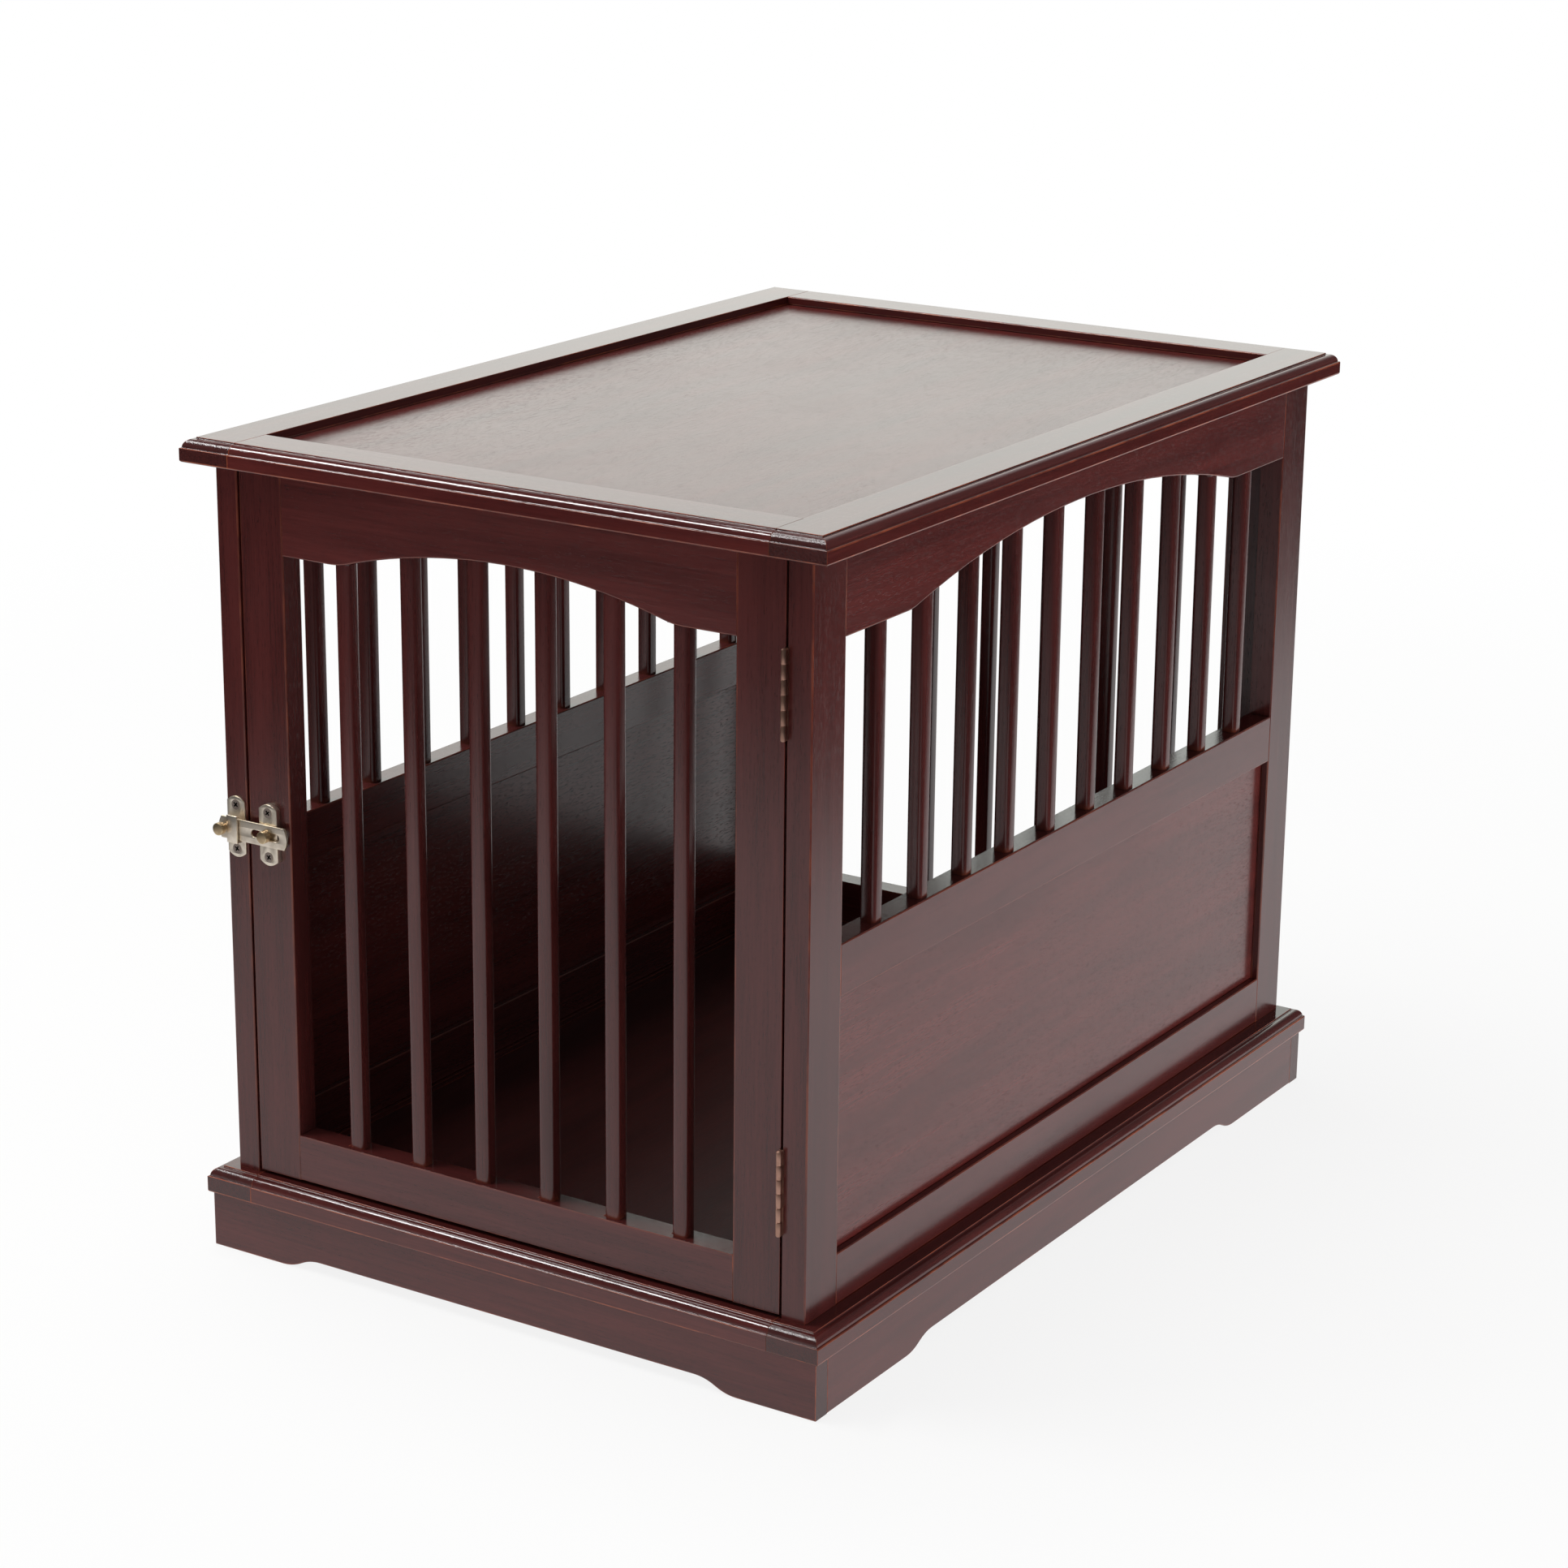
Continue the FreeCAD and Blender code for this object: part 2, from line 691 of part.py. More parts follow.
def build_latch():
    """Keeper on the side frame. Plate, stud and slotted bar on the door."""
    keeper = upright_plate(plate_steps(keeper_x, plate_width, plate_length, plate_end_bow),
                           face_y - keeper_thickness, keeper_thickness)
    lip_x = keeper_x + lip_offset
    lip_left = lip_x - lip_width / 2
    lip_right = lip_x + lip_width / 2
    shelf_low = shelf_top - lip_thickness
    shelf = proud_block(lip_left, lip_right, shelf_low, shelf_top, 0, lip_front)
    lip = proud_block(lip_left, lip_right, shelf_low, shelf_low + lip_height,
                      lip_front - lip_thickness, lip_front)
    keeper = keeper.fuse([shelf, lip]).removeSplitter()
    add("keeper_plate", keeper.cut(plate_screws(keeper_x, keeper_thickness, screw_hole)))
    add("keeper_screws", *plate_screws(keeper_x, keeper_thickness))

    wall = door_plate_wall
    shell = upright_plate(plate_steps(stud_x, plate_width, plate_length, plate_end_bow),
                          face_y - door_plate_height, door_plate_height)
    hollow = upright_plate(plate_steps(stud_x, plate_width - 2 * wall, plate_length - 2 * wall, plate_end_bow),
                           face_y - door_plate_height + wall, door_plate_height - wall)
    stud_hole = rod(proud(stud_x, latch_z, 0), V(0, -1, 0), stud_neck_radius + stud_running_gap,
                    door_plate_height + 1)
    add("latch_plate", shell.cut([hollow, stud_hole]
                                 + plate_screws(stud_x, door_plate_height, screw_hole)))
    add("latch_plate_screws", *plate_screws(stud_x, door_plate_height))

    head_low = bar_front + stud_head_gap
    flange_top = door_plate_height - wall - stud_running_gap
    collar_low = door_plate_height + stud_running_gap
    collar_high = bar_stand_off - stud_running_gap
    out = V(0, -1, 0)
    stud = rod(proud(stud_x, latch_z, flange_top - stud_flange_thickness), out,
               stud_neck_radius, head_low + stud_head_height - flange_top + stud_flange_thickness)
    flange = faceted_rod(proud(stud_x, latch_z, flange_top), out, latch_sides,
                         [(-stud_flange_thickness, stud_flange_radius), (0.0, stud_flange_radius)])
    collar = faceted_rod(proud(stud_x, latch_z, 0), out, latch_sides,
                         [(collar_low, stud_collar_radius), (collar_high, stud_collar_radius)])
    head = rod(proud(stud_x, latch_z, head_low), out, stud_head_radius, stud_head_height)
    head = head.makeChamfer(knob_edge, [e for e in head.Edges
                                        if abs(e.BoundBox.YMin - head.BoundBox.YMin) < 0.01
                                        and e.BoundBox.YLength < 0.01])
    add("latch_stud", stud.fuse([flange, collar, head]).removeSplitter())

    left = stud_x - bar_left
    right = stud_x + bar_right
    low = latch_z - bar_height / 2
    high = latch_z + bar_height / 2
    bar = upright_plate([
        (left + bar_end_bow, high),
        ((left, latch_z), (left + bar_end_bow, low)),
        (right - bar_end_bow, low),
        ((right, latch_z), (right - bar_end_bow, high)),
    ], face_y - bar_front, bar_thickness)
    half_slot = slot_height / 2
    slot_in = stud_x - slot_left + half_slot
    slot_out = stud_x + slot_right - half_slot
    slot = upright_plate([
        (slot_in, latch_z + half_slot),
        ((slot_in - half_slot, latch_z), (slot_in, latch_z - half_slot)),
        (slot_out, latch_z - half_slot),
        ((slot_out + half_slot, latch_z), (slot_out, latch_z + half_slot)),
    ], face_y - bar_front - 1, bar_thickness + 2)
    knob_x = stud_x - knob_from_stud
    hole_radius = widened(knob_rivet_radius, joint_clearance, latch_sides)
    rivet_hole = faceted_rod(proud(knob_x, latch_z, 0), out, latch_sides,
                             [(bar_stand_off - 1, hole_radius), (bar_front + 1, hole_radius)])
    add("latch_bar", bar.cut([slot, rivet_hole]))

    rivet = faceted_rod(proud(knob_x, latch_z, 0), out, latch_sides,
                        [(bar_stand_off, knob_rivet_radius), (bar_front, knob_rivet_radius)])
    knob_collar = faceted_rod(proud(knob_x, latch_z, bar_front), out, latch_sides,
                              [(0.0, knob_collar_radius), (knob_collar_height, knob_collar_radius)])
    knob = rod(proud(knob_x, latch_z, bar_front + knob_collar_height), out, knob_radius, knob_height)
    knob = knob.makeChamfer(knob_edge, [e for e in knob.Edges if e.BoundBox.YLength < 0.01])
    add("latch_knob", knob.fuse([rivet, knob_collar]).removeSplitter())


# ================================================================ assembly
def corner_dowels():
    """Dowels that tie the upright frames to the top, and the rear to the sides."""
    pins = []
    holes = []
    y_stile = half_depth - side_stile_width / 2
    for side in (-1, 1):
        for end in (-1, 1):
            joint = V(side * (half_width - board_middle), end * y_stile, frame_top)
            pin, hole = dowel(joint, V(0, 0, 1), dowel_reach, top_dowel_height)
            pins.append(pin)
            holes.append(hole)
        for height in cross_dowel_heights:
            joint = V(side * side_inner, half_depth - board_middle, base_top + height)
            pin, hole = dowel(joint, V(side, 0, 0), dowel_reach, cross_dowel_depth)
            pins.append(pin)
            holes.append(hole)
    return pins, holes


def base_screw_set(shape=wood_screw):
    """Screws up through the base rails into the bottom rails, or with screw_hole their holes."""
    places = [(s * (half_width - board_middle), i * base_screw_spread) for s in (-1, 1) for i in (-1, 0, 1)]
    places += [(s * rear_screw_spread / 2, half_depth - board_middle) for s in (-1, 1)]
    return [shape(V(x, y, skirt_height), V(0, 0, 1), base_screw_length) for x, y in places]


def build_sides(fixing_holes):
    """The two sides, each with a middle rail and a panel below it."""
    frame = upright_frame(body_depth, base_top, frame_top, side_stile_width,
                          base_top + side_bottom_rail_height, side_head_drop,
                          side_arch_rise, side_arch_radius, side_spindle_count,
                          mid_top=base_top + mid_rail_top)
    names = {"right": (90, half_width, "stile_low_u", "stile_high_u"),
             "left": (-90, -half_width, "stile_high_u", "stile_low_u")}
    hinge_cuts = [tool for z in hinge_places.values() for tool in leaf_recess(z, 1)]
    keeper_cuts = plate_screws(keeper_x, keeper_thickness, screw_hole)
    front_cuts = {"right": hinge_cuts, "left": keeper_cuts}
    for side, (angle, x, front, rear) in names.items():
        at = {key: moved(shape, angle, x) for key, shape in frame.items()}
        add(f"side_{side}_stile_front", at[front].cut(fixing_holes + front_cuts[side]))
        add(f"side_{side}_stile_rear", at[rear].cut(fixing_holes))
        add(f"side_{side}_head_rail", at["head_rail"])
        add(f"side_{side}_mid_rail", at["mid_rail"])
        add(f"side_{side}_bottom_rail", at["bottom_rail"].cut(fixing_holes))
        add(f"side_{side}_panel", at["panel"])
        add(f"side_{side}_spindles", at["spindles"])


def build_rear(fixing_holes):
    """The rear frame fits between the sides."""
    frame = upright_frame(2 * side_inner, base_top, frame_top, end_stile_width,
                          base_top + end_bottom_rail_height, end_head_drop,
                          end_arch_rise, end_arch_radius, end_spindle_count)
    at = {key: moved(shape, 180, 0, half_depth) for key, shape in frame.items()}
    add("rear_stile_right", at["stile_low_u"].cut(fixing_holes))
    add("rear_stile_left", at["stile_high_u"].cut(fixing_holes))
    add("rear_head_rail", at["head_rail"])
    add("rear_bottom_rail", at["bottom_rail"].cut(fixing_holes))
    add("rear_spindles", at["spindles"])


def build_door():
    """The door hangs between the sides, flush with their front edges."""
    door_right = side_inner - door_gap_hinge
    frame = upright_frame(door_right - door_left, door_low, door_high, end_stile_width,
                          base_top + end_bottom_rail_height, end_head_drop - door_gap_top,
                          end_arch_rise, end_arch_radius, end_spindle_count)
    at = {key: moved(shape, 0, (door_left + door_right) / 2, -half_depth) for key, shape in frame.items()}
    hinge_cuts = [tool for z in hinge_places.values() for tool in leaf_recess(z, -1)]
    add("door_stile_hinge", at["stile_high_u"].cut(hinge_cuts))
    add("door_stile_latch", at["stile_low_u"].cut(plate_screws(stud_x, door_plate_height, screw_hole)))
    add("door_head_rail", at["head_rail"])
    add("door_bottom_rail", at["bottom_rail"])
    add("door_spindles", at["spindles"])


def build():
    """Make every piece."""
    corner_pins, corner_holes = corner_dowels()
    base_holes = base_screw_set(screw_hole)
    moulded_frame("top", "top_panel", half_width + top_overhang_side, half_depth + top_overhang_end,
                  frame_top, top_thickness, top_side_rail_width, top_end_rail_width,
                  tray_depth, tray_panel_thickness, corner_holes)
    moulded_frame("base", "floor_panel", half_width + base_overhang_side, half_depth + base_overhang_end,
                  skirt_height, base_thickness, base_side_rail_width, base_end_rail_width,
                  floor_depth, floor_panel_thickness, base_holes)
    build_skirts()
    build_sides(corner_holes + base_holes)
    build_rear(corner_holes + base_holes)
    build_door()
    build_hinges()
    build_latch()
    add("frame_dowels", *corner_pins)
    add("base_screws", *base_screw_set())


build()
os.makedirs("parts", exist_ok=True)
for node, shape in parts.items():
    shape.exportStep(os.path.join("parts", f"{node}.step"))
    if not shape.isValid():
        print("not valid:", node)
print(len(parts), "pieces, table top at", table_top)
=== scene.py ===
# %% [markdown]
# A small end table that is also a pet crate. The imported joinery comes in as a
# fixed frame, and this lesson dresses it: camera, studio, finishes, then the
# pieces in the order a joiner would make them. Boards first, then spindles,
# screws, hinges and the little bar latch.

# %% Load the frame
import json
import math
import random
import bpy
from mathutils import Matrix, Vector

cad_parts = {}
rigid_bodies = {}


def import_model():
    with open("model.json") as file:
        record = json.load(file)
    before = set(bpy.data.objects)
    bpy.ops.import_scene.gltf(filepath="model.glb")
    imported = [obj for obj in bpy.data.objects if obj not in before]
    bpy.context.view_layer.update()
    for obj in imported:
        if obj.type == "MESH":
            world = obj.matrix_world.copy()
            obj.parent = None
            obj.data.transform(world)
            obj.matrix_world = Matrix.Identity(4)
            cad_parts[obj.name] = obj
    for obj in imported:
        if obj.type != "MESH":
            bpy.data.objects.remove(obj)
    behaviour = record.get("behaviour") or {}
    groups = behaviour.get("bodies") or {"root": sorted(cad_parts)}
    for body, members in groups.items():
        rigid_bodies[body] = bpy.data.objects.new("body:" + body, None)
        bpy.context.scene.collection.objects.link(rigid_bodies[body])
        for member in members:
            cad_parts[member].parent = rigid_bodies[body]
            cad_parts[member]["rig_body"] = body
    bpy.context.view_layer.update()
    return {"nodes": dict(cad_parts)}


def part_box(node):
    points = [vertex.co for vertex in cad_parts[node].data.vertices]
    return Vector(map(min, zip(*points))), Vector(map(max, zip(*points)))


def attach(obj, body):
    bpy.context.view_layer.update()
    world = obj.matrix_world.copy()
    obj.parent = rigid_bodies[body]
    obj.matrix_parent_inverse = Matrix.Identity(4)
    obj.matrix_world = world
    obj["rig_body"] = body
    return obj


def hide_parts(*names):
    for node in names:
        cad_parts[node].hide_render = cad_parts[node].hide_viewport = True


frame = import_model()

import zlib

import bmesh
import bpy
from mathutils import Matrix, Vector

MM = 0.001

# %% [markdown]
# The photograph is taken from a little above the table's front right corner,
# with a long lens, so upright lines stay almost parallel. A camera can be
# placed by eye, but a long lens is hard to judge that way. Its place and its
# turn were worked out from the table's own corners, and are written as the
# three angles that a tripod has: pan, tilt and a slight lean.

# %% Camera
PHOTO_PIXELS = 1932
pan, tilt, lean = 0.5644, 0.3007, 0.0101
ahead = Vector((-math.sin(pan) * math.cos(tilt), math.cos(pan) * math.cos(tilt), -math.sin(tilt)))
level = Vector((math.cos(pan), math.sin(pan), 0.0))
upward = level.cross(ahead)
camera_x = level * math.cos(lean) + upward * math.sin(lean)
camera_y = upward * math.cos(lean) - level * math.sin(lean)

camera_data = bpy.data.cameras.new("studio_camera")
camera = bpy.data.objects.new("studio_camera", camera_data)
bpy.context.scene.collection.objects.link(camera)
turn = Matrix((camera_x, camera_y, -ahead)).transposed().to_4x4()
camera.matrix_world = Matrix.Translation((1.18777, -1.88382, 0.93588)) @ turn
camera_data.sensor_width = 36.0
camera_data.lens = 36.0 * 4706.98 / PHOTO_PIXELS
camera_data.clip_start, camera_data.clip_end = 0.05, 60.0
bpy.context.scene.camera = camera
print("lens in mm:", round(camera_data.lens, 1))

# %% [markdown]
# Most of what follows is built from nodes, so two small helpers come first.
# One adds a node and wires it, the other starts a reusable group. A group's
# sockets are made on its interface, with names a reader can follow.


# %% Helpers for node trees
def put(tree, kind, inputs=None, **settings):
    """Add a node. An input is given a plain value or another node's socket."""
    node = tree.nodes.new(kind)
    for name, value in settings.items():
        setattr(node, name, value)
    for name, value in (inputs or {}).items():
        if isinstance(value, bpy.types.NodeSocket):
            tree.links.new(value, node.inputs[name])
        else:
            node.inputs[name].default_value = value
    return node


def new_group(name, kind, inputs, outputs):
    """A node group with named sockets, given as (name, type, value)."""
    tree = bpy.data.node_groups.new(name, kind)
    for label, socket_type, value in inputs:
        socket = tree.interface.new_socket(label, in_out="INPUT", socket_type=socket_type)
        if value is not None:
            socket.default_value = value
    for label, socket_type in outputs:
        tree.interface.new_socket(label, in_out="OUTPUT", socket_type=socket_type)
    return tree, tree.nodes.new("NodeGroupInput").outputs, tree.nodes.new("NodeGroupOutput").inputs


def math_node(tree, operation, a, b=0.0, clamp=False):
    """One sum. Gives its result's socket."""
    return put(tree, "ShaderNodeMath", {0: a, 1: b}, operation=operation, use_clamp=clamp).outputs[0]


def mix_colours(tree, share, a, b, blend="MIX"):
    """Colour a towards colour b by a share. Gives the result's socket."""
    node = put(tree, "ShaderNodeMix", data_type="RGBA", blend_type=blend)
    for index, value in ((0, share), (6, a), (7, b)):
        if isinstance(value, bpy.types.NodeSocket):
            tree.links.new(value, node.inputs[index])
        else:
            node.inputs[index].default_value = value
    return node.outputs[2]


def ramp_between(tree, value, low, high):
    """0 below low, 1 above high, and a smooth step between them."""
    node = put(tree, "ShaderNodeMapRange", {"Value": value, "From Min": low, "From Max": high},
               interpolation_type="SMOOTHSTEP")
    return node.outputs["Result"]


def stretched_noise(tree, vector, scale, detail=3.0, roughness=0.55):
    """Noise whose size differs along the three directions."""
    spread = put(tree, "ShaderNodeMapping", {"Vector": vector, "Scale": scale})
    noise = put(tree, "ShaderNodeTexNoise",
                {"Vector": spread.outputs[0], "Scale": 1.0, "Detail": detail, "Roughness": roughness})
    return noise.outputs["Fac"]


# %% [markdown]
# The studio is a pale sweep under soft lamps. The floor gives the table a
# faint shadow, and seen straight on it is plain white, as in the picture. What
# the lacquer mirrors matters more than what lights it: bright sweep behind and
# to the right, and a floor that fades into the dark room in front. That fade is
# painted on the floor and the world for mirror rays only.

# %% Floor and world
FLOOR_HALF = 14.0
floor_mesh = bpy.data.meshes.new("floor_sweep")
floor_mesh.from_pydata([(-FLOOR_HALF, -FLOOR_HALF, 0), (FLOOR_HALF, -FLOOR_HALF, 0),
                        (FLOOR_HALF, FLOOR_HALF, 0), (-FLOOR_HALF, FLOOR_HALF, 0)], [], [(0, 1, 2, 3)])
floor = bpy.data.objects.new("floor_sweep", floor_mesh)
bpy.context.scene.collection.objects.link(floor)

floor_paint = bpy.data.materials.new("pale_sweep")
floor_paint.use_nodes = True
tree = floor_paint.node_tree
tree.nodes.clear()
paths = put(tree, "ShaderNodeLightPath").outputs
place = put(tree, "ShaderNodeTexCoord").outputs["Object"]
spot = put(tree, "ShaderNodeSeparateXYZ", {"Vector": place}).outputs
inside_right = ramp_between(tree, spot["X"], 0.86, 0.6)
inside_left = ramp_between(tree, spot["X"], -0.9, -0.58)
inside_front = ramp_between(tree, spot["Y"], -1.6, -1.05)
brighter = put(tree, "ShaderNodeMapRange", {"Value": spot["Y"], "From Min": -0.6, "From Max": 0.9,
                                            "To Min": 0.66, "To Max": 0.98}).outputs["Result"]
sheet = math_node(tree, "MULTIPLY", math_node(tree, "MULTIPLY", inside_right, inside_left), inside_front)
mirror_level = math_node(tree, "ADD", math_node(tree, "MULTIPLY", sheet, brighter), 0.02)
paper = put(tree, "ShaderNodeBsdfDiffuse", {"Color": (0.8, 0.8, 0.79, 1)})
white = put(tree, "ShaderNodeEmission", {"Color": (1, 1, 1, 1), "Strength": 1.0})
mirrored = put(tree, "ShaderNodeEmission", {"Color": (1, 1, 1, 1), "Strength": mirror_level})
away = put(tree, "ShaderNodeVectorMath", {0: place}, operation="LENGTH").outputs["Value"]
whiteness = put(tree, "ShaderNodeMapRange", {"Value": away, "From Min": 0.5, "From Max": 1.8,
                                             "To Min": 0.86, "To Max": 1.0}).outputs["Result"]
seen = put(tree, "ShaderNodeMixShader", {0: math_node(tree, "MULTIPLY", paths["Is Camera Ray"], whiteness),
                                         1: paper.outputs[0], 2: white.outputs[0]})
mirror_ray = math_node(tree, "MAXIMUM", paths["Is Glossy Ray"], paths["Is Transmission Ray"])
whole = put(tree, "ShaderNodeMixShader", {0: mirror_ray, 1: seen.outputs[0], 2: mirrored.outputs[0]})
put(tree, "ShaderNodeOutputMaterial", {"Surface": whole.outputs[0]})
floor_mesh.materials.append(floor_paint)

world = bpy.data.worlds.new("studio_world")
bpy.context.scene.world = world
world.use_nodes = True
tree = world.node_tree
tree.nodes.clear()
paths = put(tree, "ShaderNodeLightPath").outputs
look = put(tree, "ShaderNodeTexCoord").outputs["Generated"]
toward_back = put(tree, "ShaderNodeVectorMath", {0: look, 1: (-0.466, 0.885, 0.0)}, operation="DOT_PRODUCT")
mirror_level = put(tree, "ShaderNodeMapRange",
                   {"Value": toward_back.outputs["Value"], "From Min": 0.66, "From Max": 0.92,
                    "To Min": 0.1, "To Max": 1.0}, interpolation_type="SMOOTHSTEP").outputs["Result"]
mirror_ray = math_node(tree, "MAXIMUM", paths["Is Glossy Ray"], paths["Is Transmission Ray"])
lit = put(tree, "ShaderNodeMix", {0: mirror_ray, 2: 0.3, 3: mirror_level}, data_type="FLOAT").outputs[0]
strength = put(tree, "ShaderNodeMix", {0: paths["Is Camera Ray"], 2: lit, 3: 1.0}, data_type="FLOAT").outputs[0]
sky = put(tree, "ShaderNodeBackground", {"Color": (1, 1, 1, 1), "Strength": strength})
put(tree, "ShaderNodeOutputWorld", {"Surface": sky.outputs[0]})
bpy.context.scene.view_settings.view_transform = "Standard"
print("floor and world ready")

# %% [markdown]
# Two soft boxes hang overhead. The one to the left draws the thin bright lines
# along the moulded edges. Low reflectors at the right and in front open up the
# upright faces without lighting the inside. The back wall is a wide, weak light
# that the table's top mirrors.


# %% Lamps
def soft_box(name, place, aim, width, height, watts):
    """A rectangular lamp that faces a point and is hidden from the camera."""
    lamp_data = bpy.data.lights.new(name, "AREA")
    lamp_data.shape = "RECTANGLE"
    lamp_data.size, lamp_data.size_y = width, height
    lamp_data.energy = watts
    lamp = bpy.data.objects.new(name, lamp_data)
    bpy.context.scene.collection.objects.link(lamp)
    lamp.location = place
    lamp.rotation_mode = "QUATERNION"
    lamp.rotation_quaternion = (Vector(aim) - Vector(place)).to_track_quat("-Z", "Y")
    lamp.visible_camera = False
    return lamp


soft_box("overhead_box", (-1.5, -1.0, 2.4), (0, 0, 0.3), 1.3, 0.4, 32)
soft_box("top_box", (-0.55, -0.1, 2.9), (0, 0, 0.25), 1.3, 1.4, 46)
right_reflector = soft_box("right_reflector", (1.5, 0.1, 0.12), (0.2, 0.1, 0.2), 1.8, 0.22, 14)
front_reflector = soft_box("front_reflector", (-0.1, -1.6, 0.06), (0, -0.3, 0.16), 1.2, 0.12, 5)
for reflector in (right_reflector, front_reflector):
    reflector.visible_glossy = False
back_wall = soft_box("back_wall", (-1.35, 2.6, 1.2), (0, 0, 0.49), 4.0, 1.4, 8.6)
back_wall.data.color = (0.88, 1.0, 0.84)
print("lamps ready")

# %% [markdown]
# The wood is stained almost black-red, then sprayed with a satin lacquer. Three
# effects repeat on every board and each is a small node group: the grain, the
# places where sanding has cut through the stain to orange wood, and the odd
# speck of dust. The grain group takes a coordinate whose first number runs along
# the board, so one group serves boards that lie in any direction.


# %% Shader groups for wood
def make_grain_group():
    """Streaks, bands and pores along the first axis of the given vector."""
    tree, inside, result = new_group(
        "wood_grain", "ShaderNodeTree",
        [("Along", "NodeSocketVector", None), ("Dark", "NodeSocketColor", (0.03, 0.009, 0.009, 1)),
         ("Light", "NodeSocketColor", (0.07, 0.02, 0.018, 1)), ("Pores", "NodeSocketFloat", 0.35)],
        [("Colour", "NodeSocketColor"), ("Height", "NodeSocketFloat"), ("Streak", "NodeSocketFloat")])
    vector = inside["Along"]
    bands = stretched_noise(tree, vector, (5.0, 60.0, 60.0), 4.0)
    fine = stretched_noise(tree, vector, (22.0, 650.0, 650.0), 4.0, 0.6)
    pore_field = stretched_noise(tree, vector, (170.0, 2400.0, 2400.0), 1.0)
    pores = ramp_between(tree, pore_field, 0.6, 0.72)
    streak = math_node(tree, "ADD", math_node(tree, "MULTIPLY", bands, 0.6), math_node(tree, "MULTIPLY", fine, 0.4))
    share = ramp_between(tree, streak, 0.32, 0.68)
    colour = mix_colours(tree, share, inside["Dark"], inside["Light"])
    shade = math_node(tree, "MULTIPLY", pores, inside["Pores"])
    tree.links.new(mix_colours(tree, shade, colour, (0.006, 0.002, 0.002, 1)), result["Colour"])
    height = math_node(tree, "SUBTRACT", math_node(tree, "MULTIPLY", fine, 0.5), shade)
    tree.links.new(height, result["Height"])
    tree.links.new(share, result["Streak"])
    return tree


def make_wear_and_highlight_group():
    """Breaks a plain edge mask into uneven patches: sanding wear on wood, and on metal the lighter edges, polish with a
    painted highlight.
    """
    tree, inside, result = new_group(
        "rubbed_patches", "ShaderNodeTree",
        [("Edge", "NodeSocketFloat", 0.0), ("Place", "NodeSocketVector", None),
         ("Amount", "NodeSocketFloat", 0.5), ("Size", "NodeSocketFloat", 40.0)],
        [("Mask", "NodeSocketFloat")])
    patches = put(tree, "ShaderNodeTexNoise", {"Vector": inside["Place"], "Scale": inside["Size"],
                                               "Detail": 3.0, "Roughness": 0.6}).outputs["Fac"]
    uneven = ramp_between(tree, patches, 0.36, 0.66)
    worn = math_node(tree, "ADD", math_node(tree, "MULTIPLY", uneven, 0.8), 0.2)
    mask = math_node(tree, "MULTIPLY", math_node(tree, "MULTIPLY", inside["Edge"], worn), inside["Amount"], True)
    tree.links.new(mask, result["Mask"])
    return tree


def make_dust_group():
    """A few pale specks, each in a random cell."""
    tree, inside, result = new_group(
        "dust_specks", "ShaderNodeTree",
        [("Place", "NodeSocketVector", None), ("Cells", "NodeSocketFloat", 45.0),
         ("Share", "NodeSocketFloat", 0.12), ("Size", "NodeSocketFloat", 0.014)],
        [("Mask", "NodeSocketFloat")])
    cells = put(tree, "ShaderNodeTexVoronoi", {"Vector": inside["Place"], "Scale": inside["Cells"]})
    near = math_node(tree, "LESS_THAN", cells.outputs["Distance"], inside["Size"])
    pick = put(tree, "ShaderNodeSeparateColor", {"Color": cells.outputs["Color"]}).outputs[0]
    chosen = math_node(tree, "LESS_THAN", pick, inside["Share"])
    tree.links.new(math_node(tree, "MULTIPLY", near, chosen), result["Mask"])
    return tree


grain_group = make_grain_group()
wear_and_highlight_group = make_wear_and_highlight_group()
dust_group = make_dust_group()
print("wood groups:", grain_group.name, wear_and_highlight_group.name, dust_group.name)

# %% [markdown]
# A lacquered board can be a plain dark shader with a clear coat, but a coat is
# perfectly level and the real one is not: sprayed lacquer sinks a little into
# the grain. So the shine belongs to the one surface, with a high index for its
# strength, and a fine bump ripples it. Rails and panels share the recipe and
# differ in how rough and how open-grained they are.


# %% Lacquered wood
def group_node(tree, group, inputs):
    """Place a shared group in a material."""
    node = tree.nodes.new("ShaderNodeGroup")
    node.node_tree = group
    for name, value in inputs.items():
        if isinstance(value, bpy.types.NodeSocket):
            tree.links.new(value, node.inputs[name])
        else:
            node.inputs[name].default_value = value
    return node.outputs


def attribute(tree, name, output="Fac"):
    """A value stored on the piece's own mesh."""
    return put(tree, "ShaderNodeAttribute", attribute_name=name).outputs[output]


